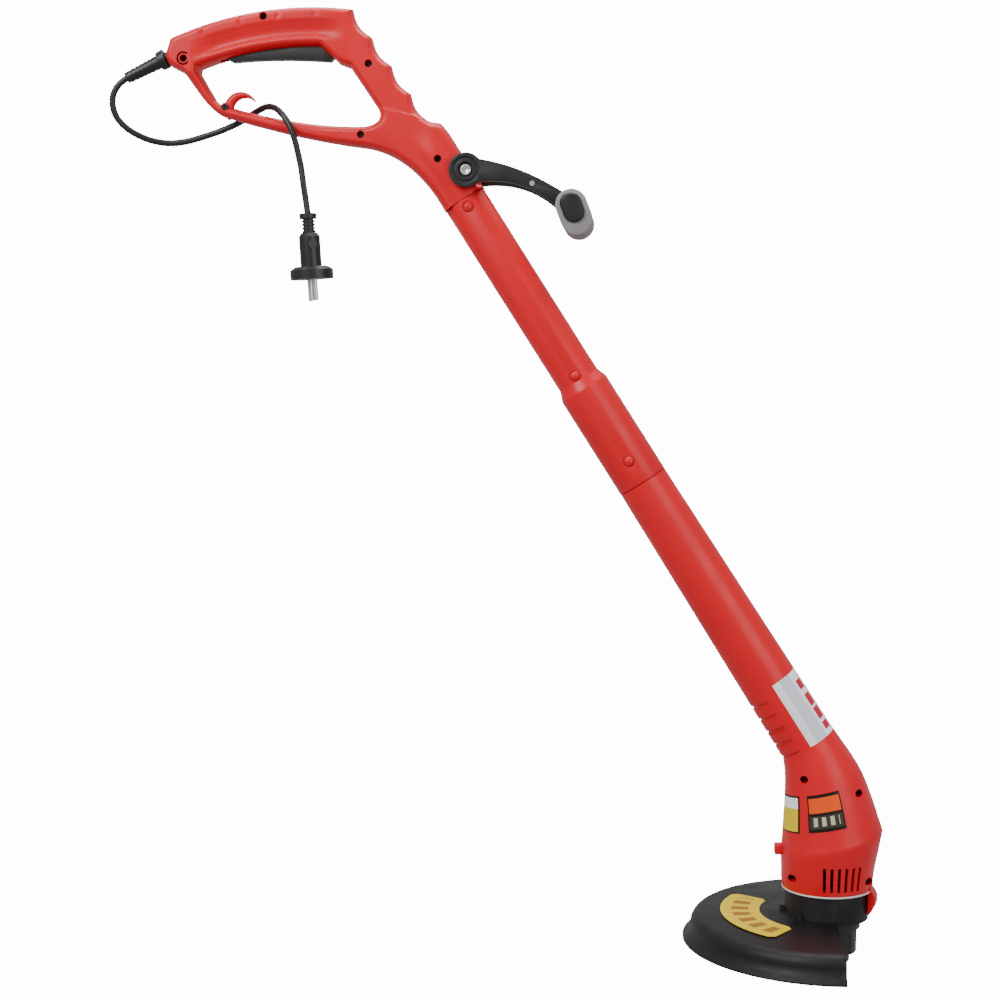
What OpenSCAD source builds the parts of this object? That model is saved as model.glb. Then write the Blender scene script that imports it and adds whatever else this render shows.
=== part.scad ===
// Corded electric string trimmer: D-shaped rear handle, straight two-piece shaft,
// motor head, half-round guard and bump-feed spool.
// Frame: origin at the middle of the rear grip, +X towards the cutting head, +Z up, the tool
// held level as in use. Y = 0 is the plane where the clamshell halves meet.

/* [Shaft] */
// Lean of the shaft from vertical, degrees
lean = 32.5; // [28:0.5:38]
// Length from the handle seam to where the shaft axis meets the spindle axis
shaft_len = 606; // [500:1:740]
// Outer radius of the middle tube
tube_r = 19.5; // [17:0.5:24]
// Wall of the middle tube
tube_wall = 2.5; // [2:0.1:3]
// Outer radius of the socket at the lower end of the middle tube
socket_r = 23; // [20.5:0.5:27]
// Length of the socket
socket_len = 106; // [80:1:130]
// Length of each spigot inside the middle tube
spigot_len = 50; // [35:1:70]
// Radius of the bored passage in each spigot
spigot_bore_r = 14; // [10:0.5:14]

/* [Handle] */
// Radius of the grip's top curve
grip_curve_r = 310; // [250:5:380]
// Depth of the grip, top to underside
grip_depth = 35; // [30:1:42]
// Width of the grip
grip_w = 34; // [30:1:42]
// Width of the thin lower arm and the rear strut
arm_w = 22; // [16:1:26]
// Wall of the handle shells
shell_wall = 2.5; // [2:0.1:3.5]
// How far the trigger turns, degrees
trigger_turn = 4; // [2:0.5:5]

/* [Front handle] */
// Distance from the pivot to the middle of the cross grip
bail_reach = 99; // [85:1:125]
// Angle of the front handle below horizontal at rest, degrees
bail_drop = 20; // [10:1:35]
// Width between the insides of the two arms
bail_gap = 42; // [42:1:60]
// Thickness of each arm, side to side
bail_arm_t = 8; // [6:0.5:10]
// Largest radius of the cross grip's sleeve
bail_grip_r = 18.5; // [14:0.5:20]

/* [Head] */
// Radius of the motor housing at its base
housing_r = 40; // [38:0.5:46]
// Height of the housing's base above the guard's rim
housing_base = 50; // [46:1:58]
// Radius of the motor shaft
shaft_r = 4; // [3:0.5:5]
// Radius of the motor's field stack
stator_r = 27; // [24:0.5:30]

/* [Guard] */
// Radius of the guard's flared rim
guard_r = 129; // [110:1:150]
// Height of the guard's top face above its rim
guard_h = 25; // [22:0.5:28]
// Wall of the guard
guard_wall = 2.5; // [2:0.1:3.5]
// Where the guard's straight front edge lies, ahead of the spindle
guard_cut = 5; // [0:1:15]

/* [Spool] */
// Outer radius of the spool housing
spool_housing_r = 30; // [26:0.5:32]
// Radius of the bump button's wide step
bump_r = 21; // [16:0.5:22]
// How far the bump button travels
bump_travel = 4; // [2:0.5:5]

/* [Cord and plug] */
// Diameter of the mains cord
cord_d = 5.8; // [5:0.2:7]
// Radius of the plug's round flange
plug_flange_r = 19; // [17:0.5:20]
// Distance between the plug's pins
pin_pitch = 19; // [18:0.5:20]
// Diameter of a plug pin
pin_d = 4.8; // [4:0.1:5]
// Length of a plug pin
pin_len = 19; // [17:0.5:20]

/* [Hidden] */

red = [0.86, 0.08, 0.13];
black = [0.12, 0.12, 0.13];
grey = [0.55, 0.53, 0.54];
steel = [0.72, 0.73, 0.75];
copper = [0.72, 0.42, 0.22];

gap = 0.3;            // play between pieces that move past each other
fit = 0.05;           // play of a shaft in its hole
fine = 64;
soft = 32;

// Directions along and across the shaft, in the X-Z plane
up_shaft = [-sin(lean), cos(lean)];
across = [cos(lean), sin(lean)];
// Middle of the seam between the handle and the middle tube
neck = [154.4, -149.9];
spindle = [neck[0] + shaft_len * sin(lean), neck[1] - shaft_len * cos(lean)];
spindle_meet = 150;   // height above the guard's rim where shaft and spindle axes cross
head_seam = shaft_len - 312;          // middle tube's lower end, down from the handle seam
spigot_r = tube_r - tube_wall - 0.2;

function seam(off, up = 2) = neck + across * off + up_shaft * up;
function arc_pts(c, r, a0, a1, n) =
  [for (i = [0:n]) let (a = a0 + (a1 - a0) * i / n) [c[0] + r * cos(a), c[1] + r * sin(a)]];
function bez_pts(p, q, r, n) =
  [for (i = [0:n]) let (t = i / n) (1 - t) * (1 - t) * p + 2 * t * (1 - t) * q + t * t * r];

// The same points without the first, for a curve that starts where another ended
function rest_of(v) = [for (i = [1:len(v) - 1]) v[i]];

module on_shaft(down) {
  translate([neck[0], 0, neck[1]]) rotate([0, -lean, 0]) translate([0, 0, -down]) children();
}
module at_head(z = 0) {
  translate([spindle[0], 0, spindle[1] - spindle_meet + z]) children();
}
// Extrudes an X-Z outline along Y from y0 to y1
module slab(y0, y1) {
  translate([0, y1, 0]) rotate([90, 0, 0]) linear_extrude(y1 - y0) children();
}
module across_y(x, z, r, y0, y1, fn = fine) {
  translate([x, y0, z]) rotate([-90, 0, 0]) cylinder(h = y1 - y0, r = r, $fn = fn);
}
module ring(h, r_out, r_in, fn = fine) {
  difference() {
    cylinder(h = h, r = r_out, $fn = fn);
    translate([0, 0, -1]) cylinder(h = h + 2, r = r_in, $fn = fn);
  }
}
module side_of(side) {
  translate([-400, side > 0 ? 0 : -100, -900]) cube([1100, 100, 1100]);
}

// ---- swept round cords ----
function unit(v) = v / norm(v);
function spline(p, t) =
  let (n = len(p), i = min(floor(t), n - 2), f = t - i,
       a = p[max(i - 1, 0)], b = p[i], c = p[i + 1], d = p[min(i + 2, n - 1)])
  0.5 * (2 * b + (c - a) * f + (2 * a - 5 * b + 4 * c - d) * f * f
         + (3 * b - a - 3 * c + d) * f * f * f);
module swept_cord(route, d, rings, sides) {
  last = len(route) - 1;
  path = [for (i = [0:rings]) spline(route, last * i / rings)];
  dirs = [for (i = [0:rings]) unit(path[min(i + 1, rings)] - path[max(i - 1, 0)])];
  pts = [for (i = [0:rings])
    let (w = unit(cross(dirs[i], [0.05, 1, 0.02])), v = cross(w, dirs[i]))
    for (k = [0:sides - 1])
      path[i] + d / 2 * (w * cos(360 * k / sides) + v * sin(360 * k / sides))];
  walls = [for (i = [0:rings - 1], k = [0:sides - 1])
    let (a = i * sides + k, b = i * sides + (k + 1) % sides)
    each [[a, b, a + sides], [b, b + sides, a + sides]]];
  near = [[for (k = [sides - 1:-1:0]) k]];
  far = [[for (k = [0:sides - 1]) rings * sides + k]];
  polyhedron(points = pts, faces = concat(walls, near, far), convexity = 8);
}

// ---- handle outlines, X-Z ----
grip_c = [18, 19 - grip_curve_r];
grip_in_r = grip_curve_r - grip_depth;
knuckle = [-98, -22];
knuckle_r = 12.5;
back_top = [56, 16.7];
back_low = [124, -81.5];
scallops = 4;
scallop_depth = 4;
body_r = tube_r + 0.5;
arm_turn = [64, -104];
hook_c = [-45, -68.5];
hook_r = 15;
hook_w = 10;
screw_spots = [[-21.2, 9.5], [-92.6, -26], [-57.6, -67.8], [71, -31.8], [63.6, -93], [132, -115]];
screw_r = 1.5;
boss_r = 4.2;
head_screw_r = 3;
bail_pivot = [157.4, -125.5];
bail_bolt_r = 3;

function back_edge(n) =
  [for (i = [0:n]) let (t = i / n, d = unit(back_low - back_top), o = [-d[1], d[0]])
    back_top + (back_low - back_top) * t - o * scallop_depth * abs(sin(180 * scallops * t))];

outer_path = concat(
  arc_pts(grip_c, grip_curve_r, 113.6, 83, 20),
  rest_of(back_edge(32)),
  [[134, -82.7], seam(body_r - 1.5)],
  bez_pts(seam(1.5 - body_r), [109, -110], arm_turn, 10),
  rest_of(bez_pts(arm_turn, [10, -97], [-56, -77], 8)),
  rest_of(bez_pts([-56, -77], [-67, -75], [-81, -56.5], 4)),
  [[-94, -38], [-103, -33]]
);
hand_gap = concat(
  arc_pts(grip_c, grip_in_r, 110.8, 88, 12),
  [[35, -23], [44, -31], [54, -34.5]],
  bez_pts([78, -70], [84, -82], [66, -85], 5),
  rest_of(bez_pts([66, -85], [10, -86], [-62, -65], 8)),
  bez_pts([-66, -62], [-73, -50], [-80.5, -37.5], 4)
);

// Where the handle is thinner: the rear strut and the lower arm
thin_zone = [[-140, -130], [-140, -46], [-103, -46], [-84, -31], [-60, -45], [30, -50], [50, -60], [50, -130]];
module hook() {
  difference() {
    across_y(hook_c[0], hook_c[1], hook_r, -hook_w / 2, hook_w / 2);
    across_y(hook_c[0] + 4.5, hook_c[1] - 1.5, hook_r - 4.2, -hook_w, hook_w);
    translate([hook_c[0] + 4.5, -hook_w, hook_c[1] - hook_r - 5]) cube([20, 2 * hook_w, hook_r + 9]);
    translate([hook_c[0] - 20, -hook_w, hook_c[1] - 20]) cube([40, 2 * hook_w, 14]);
  }
}
module handle_solid() {
  difference() {
    union() {
      slab(-grip_w / 2, grip_w / 2) polygon(outer_path);
      across_y(knuckle[0], knuckle[1], knuckle_r, -grip_w / 2, grip_w / 2);
    }
    slab(-grip_w, grip_w) polygon(hand_gap);
    for (s = [-1, 1]) slab(s > 0 ? arm_w / 2 : -grip_w, s > 0 ? grip_w : -arm_w / 2) polygon(thin_zone);
  }
  hook();
  on_shaft(0) cylinder(h = 58, r = body_r, $fn = fine);
  on_shaft(spigot_len) cylinder(h = spigot_len + 1, r = spigot_r, $fn = fine);
}
// Hollow of the grip, the back and the body, a shell wall inside the outline
back_in = [for (p = [back_top, back_low]) p - unit([1, 0.7]) * (scallop_depth + shell_wall)];
cavity_path = concat(
  arc_pts(grip_c, grip_curve_r - shell_wall, 112.4, 85, 12),
  [back_in[0] + [-3, 1], back_in[1], [129, -90], [152, -121], [126, -131], [104, -111],
   [84, -96], [72, -94], [80, -78], [58, -36], [48, -33], [36, -25]],
  arc_pts(grip_c, grip_in_r + shell_wall, 87, 110.6, 10)
);
module handle_cavity() {
  slab(-grip_w / 2 + shell_wall, grip_w / 2 - shell_wall) polygon(cavity_path);
  on_shaft(spigot_len + 1) cylinder(h = spigot_len + 31, r = spigot_bore_r, $fn = fine);
}
module screw_bosses() {
  for (p = screw_spots) across_y(p[0], p[1], boss_r, -arm_w / 2 + 1, arm_w / 2 - 1, soft);
  for (p = [screw_spots[0], screw_spots[3], screw_spots[5]])
    across_y(p[0], p[1], boss_r, -grip_w / 2 + 1, grip_w / 2 - 1, soft);
  across_y(bail_pivot[0], bail_pivot[1], bail_bolt_r + 3, -grip_w / 2 + 1, grip_w / 2 - 1, soft);
  across_y(trigger_at[0], trigger_at[1], 4.5, -grip_w / 2 + 1, grip_w / 2 - 1, soft);
  translate([-51, -grip_w / 2 + 1, spring_seat_z]) cube([10, grip_w - 2, 2]);
}
screw_seat = -7;       // how deep the clamshell screws' heads sit, on the right side
screw_len = 16;
module handle_holes() {
  for (p = screw_spots) {
    across_y(p[0], p[1], head_screw_r + 0.3, -40, screw_seat);
    across_y(p[0], p[1], screw_r + fit, -40, screw_seat + screw_len + 1);
  }
  across_y(bail_pivot[0], bail_pivot[1], bail_bolt_r + fit, -40, 40);
  across_y(trigger_at[0], trigger_at[1], pin_r + fit, -trigger_pin_len / 2 - fit, trigger_pin_len / 2 + fit);
  // slot for the trigger in the grip's underside
  translate([-62, -trigger_w / 2 - gap, -45]) cube([106, trigger_w + 2 * gap, 45 + slot_roof]);
  relief_frame() translate([0, 0, -20]) cylinder(h = 40, r = relief_neck_r + fit, $fn = fine);
  relief_frame() translate([0, 0, -8]) cylinder(h = 4 + gap, r = relief_flange_r + fit, $fn = fine);
  // hole for the upper snap button
  on_shaft(button_down[0]) rotate([90, 0, 0]) cylinder(h = 40, r = button_r + gap, $fn = fine);
}
module handle_half(side) {
  difference() {
    intersection() {
      union() {
        difference() { handle_solid(); handle_cavity(); }
        intersection() { screw_bosses(); handle_solid(); }
      }
      side_of(side);
    }
    handle_holes();
  }
}
module handle_shell_right() { color(red) handle_half(-1); }
module handle_shell_left() { color(red) handle_half(1); }
module handle_screws() {
  color(steel) for (p = screw_spots) {
    difference() {
      across_y(p[0], p[1], head_screw_r, screw_seat - 2, screw_seat);
      translate([p[0], screw_seat - 2.5, p[1]]) for (a = [0, 90]) rotate([0, a, 0]) cube([4, 3, 0.8], center = true);
    }
    across_y(p[0], p[1], screw_r, screw_seat, screw_seat + screw_len);
  }
}

// ---- trigger and switch ----
trigger_w = 12;
trigger_at = [37, -14];
pin_r = 1.5;
spring_seat_z = -4.4;
// Roof of the trigger's slot: the trigger's back rises by its turn over 100 mm
slot_roof = -15.5 + 100 * sin(trigger_turn);
trigger_pin_len = 24;
switch_at = [-26, -8];
switch_size = [36, 18, 12.8];
plunger_x = -10;
module trigger() {
  color(black) difference() {
    slab(-trigger_w / 2, trigger_w / 2) union() {
      polygon(concat([[-59, -24]], bez_pts([-51, -28.3], [-8, -24.5], [36, -28.5], 10),
        [[41, -23], [41, -14], [-6, -13.3], [-56, -18]]));
      translate(trigger_at) circle(r = 4, $fn = fine);
    }
    across_y(trigger_at[0], trigger_at[1], pin_r + fit, -20, 20);
  }
}
module trigger_pin() {
  color(steel) across_y(trigger_at[0], trigger_at[1], pin_r, -trigger_pin_len / 2, trigger_pin_len / 2);
}
module trigger_spring() {
  color(steel) translate([-46, 0, spring_seat_z]) for (i = [0:4])
    translate([0, 0, -11.2 + i * 2.6]) rotate_extrude($fn = soft) translate([3, 0]) circle(r = 0.4, $fn = 8);
}
module switch_body() {
  color(black) difference() {
    translate([switch_at[0], -switch_size[1] / 2, switch_at[1]]) cube(switch_size);
    translate([plunger_x, 0, switch_at[1] - 1]) cylinder(h = 8, r = 2.5 + fit, $fn = fine);
  }
}
module switch_plunger() {
  color(grey) translate([plunger_x, 0, -13]) cylinder(h = 8, r = 2.5, $fn = fine);
}

// ---- cord, strain relief and plug ----
relief_at = [-104, -20];
relief_dip = 25.5;
relief_neck_r = 5;
relief_flange_r = 7;
relief_len = 48;
module relief_frame() { translate([relief_at[0], 0, relief_at[1]]) rotate([0, -90 - relief_dip, 0]) children(); }
module strain_relief() {
  color(black) relief_frame() difference() {
    union() {
      translate([0, 0, -10]) cylinder(h = 20, r = relief_neck_r, $fn = fine);
      translate([0, 0, -8 + gap / 2]) cylinder(h = 4, r = relief_flange_r, $fn = fine);
      translate([0, 0, 8.2]) cylinder(h = 7.3, r1 = 9, r2 = 8.4, $fn = fine);
      translate([0, 0, 7]) cylinder(h = 2, r = relief_neck_r, $fn = fine);
      translate([0, 0, 15]) cylinder(h = relief_len - 15, r1 = 5.6, r2 = 4.6, $fn = fine);
    }
    translate([0, 0, -11]) cylinder(h = relief_len + 12, r = cord_d / 2 + 3 * fit, $fn = fine);
  }
}
relief_dir = [-cos(relief_dip), -sin(relief_dip)];
function relief_pt(s) = [relief_at[0] + relief_dir[0] * s, 0, relief_at[1] + relief_dir[1] * s];
cord_route = [
  relief_pt(relief_len - 7), relief_pt(relief_len), [-154, 0, -45.5], [-159, 0, -52.5], [-161, 0.5, -60.5], [-160, 1, -69],
  [-156.5, 2, -76.5], [-150, 3, -83.5], [-141, 5, -89.5], [-129, 8, -94.5], [-114, 11, -97], [-98, 13, -95.5],
  [-82, 15, -91], [-66, 16.3, -85.5], [-52, 16.3, -79.5], [-41, 15, -73.5], [-31, 10.5, -68.6], [-22, 3.2, -66.4],
  [-13, -5, -68.8],
  [-5, -12, -76], [1, -15, -85], [5, -16, -95], [8, -16, -107], [11, -16, -121], [13, -17, -135],
  [15, -17, -149], [17, -18, -162]
];
module mains_cord() { color(black) swept_cord(cord_route, cord_d, 75, 8); }
lead_route = [
  relief_pt(relief_len - 7), relief_pt(20), relief_pt(0), [-95, 0, -16], [-84, 0, -10], [-72, 0, -4],
  [-58, 0, 1], [-44, 0, 2], [-27, 0, 1]
];
module inlet_lead() { color(black) swept_cord(lead_route, cord_d, 20, 8); }
module cord_clamp() {
  color(black) difference() {
    translate([-76, -8, -10]) cube([10, 16, 4.5]);
    swept_cord([for (p = lead_route) p], cord_d + 0.3, 20, 12);
  }
}
plug_top = [17, -18, -162];
plug_tilt = 3.5;
plug_twist = 68;
module plug_frame() { translate(plug_top) rotate([0, 180 - plug_tilt, 0]) rotate([0, 0, plug_twist]) children(); }
plug_bore_r = cord_d / 2 + 0.2;
plug_face = 57.5;
pin_root_r = pin_d / 2 - 0.6;
// Ribbed neck, flared waist and barrel of the plug, as a turned profile
plug_profile = concat(
  [[plug_bore_r, 0], [7.5, 0], [7.5, 4.5], [4.8, 4.5]],
  [for (i = [0:3]) each [[4.8, 6 + i * 3], [5.8, 6 + i * 3], [5.8, 7.5 + i * 3], [4.8, 7.5 + i * 3]]],
  [[4.8, 17], [7, 17], [9.3, 20], [9.3, 46], [15, 46.5], [plug_flange_r, 49.5], [plug_flange_r, plug_face],
   [0, plug_face], [0, 18], [plug_bore_r, 18]]
);
module plug_body() {
  color(black) plug_frame() difference() {
    union() {
      rotate_extrude($fn = fine) polygon(plug_profile);
      translate([0, 0, 27]) rotate([0, 90, 0]) cylinder(h = 22.5, r = 4, center = true, $fn = fine);
    }
    for (s = [-1, 1]) translate([s * pin_pitch / 2, 0, 47]) cylinder(h = 20, r = pin_root_r + fit, $fn = fine);
  }
}
module plug_pins() {
  color(steel) plug_frame() for (s = [-1, 1]) translate([s * pin_pitch / 2, 0, 0])
    rotate_extrude($fn = fine) polygon([[0, 47], [pin_root_r, 47], [pin_root_r, plug_face + 0.1],
      [pin_d / 2, plug_face + 0.1], [pin_d / 2, plug_face + pin_len - 1], [pin_d / 2 - 0.8, plug_face + pin_len],
      [0, plug_face + pin_len]]);
}

// ---- middle tube and snap buttons ----
socket_top = head_seam - socket_len;
socket_cone = 9;
head_neck_r = socket_r - tube_wall - 0.2;
head_neck_top = socket_top + socket_cone + 3;
head_spigot_top = socket_top - 22;
button_r = 4.5;
button_down = [8, socket_top - 5, head_seam - 22.5];
button_skin = [tube_r, tube_r, socket_r];
button_bore = [spigot_bore_r, spigot_bore_r, head_neck_r - 3];
button_press = 3;
button_flange_r = 6.4;
module middle_tube() {
  color(red) difference() {
    union() {
      on_shaft(socket_top) cylinder(h = socket_top - gap, r = tube_r, $fn = fine);
      on_shaft(socket_top + socket_cone) cylinder(h = socket_cone, r1 = socket_r, r2 = tube_r, $fn = fine);
      on_shaft(head_seam - gap) cylinder(h = head_seam - gap - socket_top - socket_cone, r = socket_r, $fn = fine);
    }
    on_shaft(head_seam + 1) cylinder(h = head_seam + 2, r = tube_r - tube_wall, $fn = fine);
    on_shaft(head_seam + 1) cylinder(h = head_seam + 1 - head_neck_top + 0.5, r = socket_r - tube_wall, $fn = fine);
    for (d = button_down) on_shaft(d) rotate([90, 0, 0]) cylinder(h = 40, r = button_r + gap, $fn = fine);
  }
}
function button_seat(i) = sqrt(pow(button_bore[i], 2) - pow(button_flange_r, 2)) - 0.3;
module snap_button(i) {
  low = button_seat(i) - 1.6;
  color(red) on_shaft(button_down[i]) rotate([90, 0, 0]) rotate_extrude($fn = fine) polygon(concat(
    [[0, low], [button_flange_r, low], [button_flange_r, low + 1.6], [button_r, low + 1.6]],
    arc_pts([0, button_skin[i] - 2.4], 5.1, 28, 90, 6)));
}
module snap_button_top() { snap_button(0); }
module snap_button_mid() { snap_button(1); }
module snap_button_low() { snap_button(2); }
leaf_w = 8;
leaf_t = 0.6;
module button_springs() {
  color(steel) for (i = [0:2]) on_shaft(button_down[i]) rotate([90, 0, 0]) {
    high = button_seat(i) - 1.6 - button_press - 0.4;
    low = -sqrt(pow(button_bore[i], 2) - 16) + 0.4;
    bend = (high - low) / 2;
    translate([-leaf_w / 2, -12, high - leaf_t]) cube([leaf_w, 24, leaf_t]);
    translate([-leaf_w / 2, -12, low]) cube([leaf_w, 24, leaf_t]);
    intersection() {
      translate([-leaf_w / 2, 12, (high + low) / 2]) rotate([0, 90, 0]) ring(leaf_w, bend, bend - leaf_t);
      translate([-20, 12, -40]) cube([40, 40, 80]);
    }
  }
}
lead_off = 9;
lead_d = 3.2;
function lead_pt(down) = [neck[0] - up_shaft[0] * down + across[0] * lead_off, 0,
                          neck[1] - up_shaft[1] * down + across[1] * lead_off];
motor_top = [spindle[0] + 14, 0, spindle[1] - spindle_meet + 135];
motor_lead_route = concat(
  [[11, 0, 1], [24, 0, 1], [38, 0, 2], [50, 0, -4], [57, 0, -15], [61.5, 0, -26], [65, 0, -37.5], [73, 0, -50],
   [84, 0, -64], [97, 0, -77], [110, 0, -86.5], [122, 0, -94], [138, 0, -113], [148, 0, -126], lead_pt(-8)],
  [for (i = [0:12]) lead_pt(6 + i * (shaft_len - 46) / 12)],
  [motor_top + [2, 0, 16], motor_top]);
module motor_lead() { color(black) swept_cord(motor_lead_route, lead_d, 78, 8); }

// ---- front handle (bail) ----
hub_r = 15;
bail_in = bail_gap / 2;
bail_out = bail_in + bail_arm_t;
core_r = 7.5;
bail_end_y = 44;
// The flared ends' oval: its lean in the handle's own frame and how far its two centres lie from the bar
oval_lean = 49;
oval_ends = [-2.5, 10.5];
function oval_turn(s) = s > 0 ? oval_lean : -oval_lean;
flare = concat([[9.6, bail_out + 0.2], [9.8, bail_out + 4]],
  bez_pts([10.4, bail_out + 8], [bail_grip_r - 4.5, bail_out + 10], [bail_grip_r - 4.5, bail_end_y - 2.5], 4),
  [[bail_grip_r - 6, bail_end_y - 1.6]]);
// An oval solid from its side's outline: two half turned ends joined by a straight stretch
module oval_turned(s, ends, side) {
  last = len(side) - 1;
  rotate([0, 0, oval_turn(s)]) {
    for (e = [0, 1]) translate([ends[e], 0, 0]) rotate([0, 0, 90 - 180 * e])
      rotate_extrude(angle = 180, $fn = fine) polygon(concat([[0, side[0][1]]], side, [[0, side[last][1]]]));
    translate([ends[0], 0, 0]) rotate([90, 0, 90]) linear_extrude(ends[1] - ends[0])
      polygon(concat(side, [for (i = [last:-1:0]) [-side[i][0], side[i][1]]]));
  }
}
module bail_frame() {
  translate([bail_pivot[0], 0, bail_pivot[1]]) rotate([0, bail_drop, 0]) children();
}
module bail_arm(side) {
  y0 = side > 0 ? bail_in : -bail_out;
  color(black) bail_frame() difference() {
    union() {
      across_y(0, 0, hub_r, y0, y0 + bail_arm_t);
      across_y(bail_reach, 0, 12, y0, y0 + bail_arm_t);
      slab(y0, y0 + bail_arm_t) polygon(concat(
        bez_pts([4, 12], [45, 21], [bail_reach - 6, 9], 12), bez_pts([bail_reach - 10, -5], [50, 13], [12, -7], 12)));
    }
    across_y(0, 0, bail_bolt_r + fit, -50, 50);
    across_y(0, 0, 6.5, side > 0 ? bail_out - 3 : -60, side > 0 ? 60 : -bail_out + 3);
    across_y(bail_reach, 0, core_r + fit, -60, 60);
    across_y(58.5, 8.5, 1.2, -60, 60);
    // ring groove round the hub's face
    difference() {
      across_y(0, 0, 11.5, side > 0 ? bail_out - 1 : -60, side > 0 ? 60 : -bail_out + 1);
      across_y(0, 0, 9.5, -70, 70);
    }
  }
}
module bail_arm_right() { bail_arm(-1); }
module bail_arm_left() { bail_arm(1); }
module bail_core() {
  color(black) bail_frame() translate([bail_reach, 0, 0]) {
    across_y(0, 0, core_r, -bail_end_y, bail_end_y);
    for (s = [-1, 1]) rotate([s > 0 ? -90 : 90, 0, 0]) translate([0, 0, bail_end_y - 1.5])
      oval_turned(s, [-4, 4], [[9.2, 0], [9.2, 2], [7.6, 3.5]]);
  }
}
// Sleeve round the core: a barrel between the arms and a flared end outside each arm
module bail_grip() {
  color(grey) bail_frame() translate([bail_reach, 0, 0]) {
    rotate([90, 0, 0]) rotate_extrude($fn = fine) polygon(concat(
      [[core_r + fit, -bail_in + 0.2]], [for (i = [-5:5]) [13.2 - 0.06 * i * i, i * (bail_in - 0.2) / 5]],
      [[core_r + fit, bail_in - 0.2]]));
    // the flared ends are oval
    for (s = [-1, 1]) rotate([s > 0 ? -90 : 90, 0, 0]) difference() {
      oval_turned(s, oval_ends, flare);
      cylinder(h = 60, r = core_r + fit, $fn = fine);
    }
  }
}
module bail_bolt() {
  color(steel) {
    difference() {
      across_y(bail_pivot[0], bail_pivot[1], 4.6, -bail_out - 0.2, -bail_out + 3 - gap);
      translate([bail_pivot[0], -bail_out, bail_pivot[1]]) cube([7, 1.6, 1.1], center = true);
      translate([bail_pivot[0], -bail_out, bail_pivot[1]]) cube([1.1, 1.6, 7], center = true);
    }
    across_y(bail_pivot[0], bail_pivot[1], bail_bolt_r, -bail_out + 1, bail_out + 1.5);
  }
}
module bail_nut() {
  color(steel) difference() {
    across_y(bail_pivot[0], bail_pivot[1], 5.5, bail_out - 3 + gap, bail_out + 0.8, 6);
    across_y(bail_pivot[0], bail_pivot[1], bail_bolt_r + fit, 0, 60);
  }
}
module bail_screws() {
  color(steel) bail_frame() for (s = [-1, 1]) {
    y = s * bail_out;
    across_y(58.5, 8.5, 2.3, min(y, y + s * 0.9), max(y, y + s * 0.9));
    across_y(58.5, 8.5, 1.15, min(y, y - s * 6), max(y, y - s * 6));
  }
}

// ---- head shells ----
cone_end = shaft_len - 37;
cone_r0 = socket_r - 0.2;
cone_r1 = 26.2;
// Discs that the housing passes through: height, centre ahead of the spindle, radius
housing_discs = [[150, -3.75, housing_r - 5.25], [103, 4, housing_r + 4.2], [92, 3, housing_r + 3.5],
                 [housing_base, 0, housing_r]];
lug_z = [27, housing_base + 6];
module head_mass(less, drop) {
  on_shaft(cone_end + 0.5) cylinder(h = cone_end + 0.5 - head_seam - gap - less, r1 = cone_r1 - less - 0.15,
                                    r2 = cone_r0 - less, $fn = fine);
  hull() {
    on_shaft(cone_end) cylinder(h = 2, r = cone_r1 - less, $fn = soft);
    for (d = housing_discs) at_head(d[0] - (d[0] == housing_base ? drop : 0)) translate([d[1], 0, 0])
      cylinder(h = 1, r = d[2] - less, $fn = 2 * soft);
  }
}
head_screw_spots = [[-24, 152], [24, 140], [-33, 62], [34, 60]];
module head_spigot() {
  on_shaft(head_seam + 1) cylinder(h = head_seam + 1 - head_neck_top, r = head_neck_r, $fn = fine);
  on_shaft(head_neck_top + 1) cylinder(h = head_neck_top + 1 - head_spigot_top, r = spigot_r, $fn = fine);
}
module head_bore() {
  on_shaft(head_neck_top + 4) cylinder(h = head_neck_top + 5 - head_spigot_top, r = spigot_bore_r, $fn = fine);
  on_shaft(head_seam + 8) cylinder(h = head_seam + 8 - head_neck_top - 4, r = head_neck_r - 3, $fn = fine);
}
module vents() {
  // upright slots low on both sides of the motor housing
  for (s = [-1, 1], i = [0:5]) at_head(54) rotate([0, 0, s * (90 - (i - 1) * 9)]) translate([30, -1.3, 0]) cube([20, 2.6, 22]);
  // shallow bands across the underside of the neck
  for (i = [0:4]) on_shaft(shaft_len - 36 - i * 13) intersection() {
    ring(2.4, 34, 24.2);
    translate([-40, -40, -1]) cube([28, 80, 5]);
  }
}
module head_lug() {
  at_head(0) intersection() {
    union() {
      translate([0, 0, lug_z[0]]) ring(lug_z[1] - lug_z[0], 45, housing_r + 0.7);
      translate([0, 0, housing_base + 0.2]) ring(lug_z[1] - housing_base - 0.2, 45, housing_r - 2);
    }
    translate([30, -18, 0]) cube([20, 36, 80]);
  }
}
module head_half(side) {
  color(red) difference() {
    intersection() {
      union() {
        difference() {
          union() { head_mass(0, 0); head_spigot(); head_lug(); }
          head_mass(shell_wall, 1.5);
          head_bore();
        }
        // rear block and inner ribs that hold the field stack
        at_head(78) translate([-47.5, -6, 0]) cube([8, 12, 9]);
        for (z = [82, 102]) at_head(z) ring(2.5, housing_r, stator_r + fit);
        for (p = head_screw_spots) at_head(p[1]) across_y(p[0], 0, 4, -45, 45, soft);
        at_head(housing_base) ring(1.8, housing_r - 1, housing_r - 4.6);
      }
      side_of(side);
      union() { head_mass(0, 0); head_spigot(); head_lug(); at_head(70) translate([-60, -10, 0]) cube([30, 20, 30]); }
    }
    for (p = head_screw_spots) {
      at_head(p[1]) across_y(p[0], 0, head_screw_r + 0.3, -60, -12);
      at_head(p[1]) across_y(p[0], 0, screw_r + fit, -60, 7);
    }
    vents();
    for (i = [1, 2]) on_shaft(button_down[i]) rotate([90, 0, 0]) cylinder(h = 40, r = button_r + gap, $fn = fine);
  }
}
module head_shell_right() { head_half(-1); }
module head_shell_left() { head_half(1); }
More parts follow.
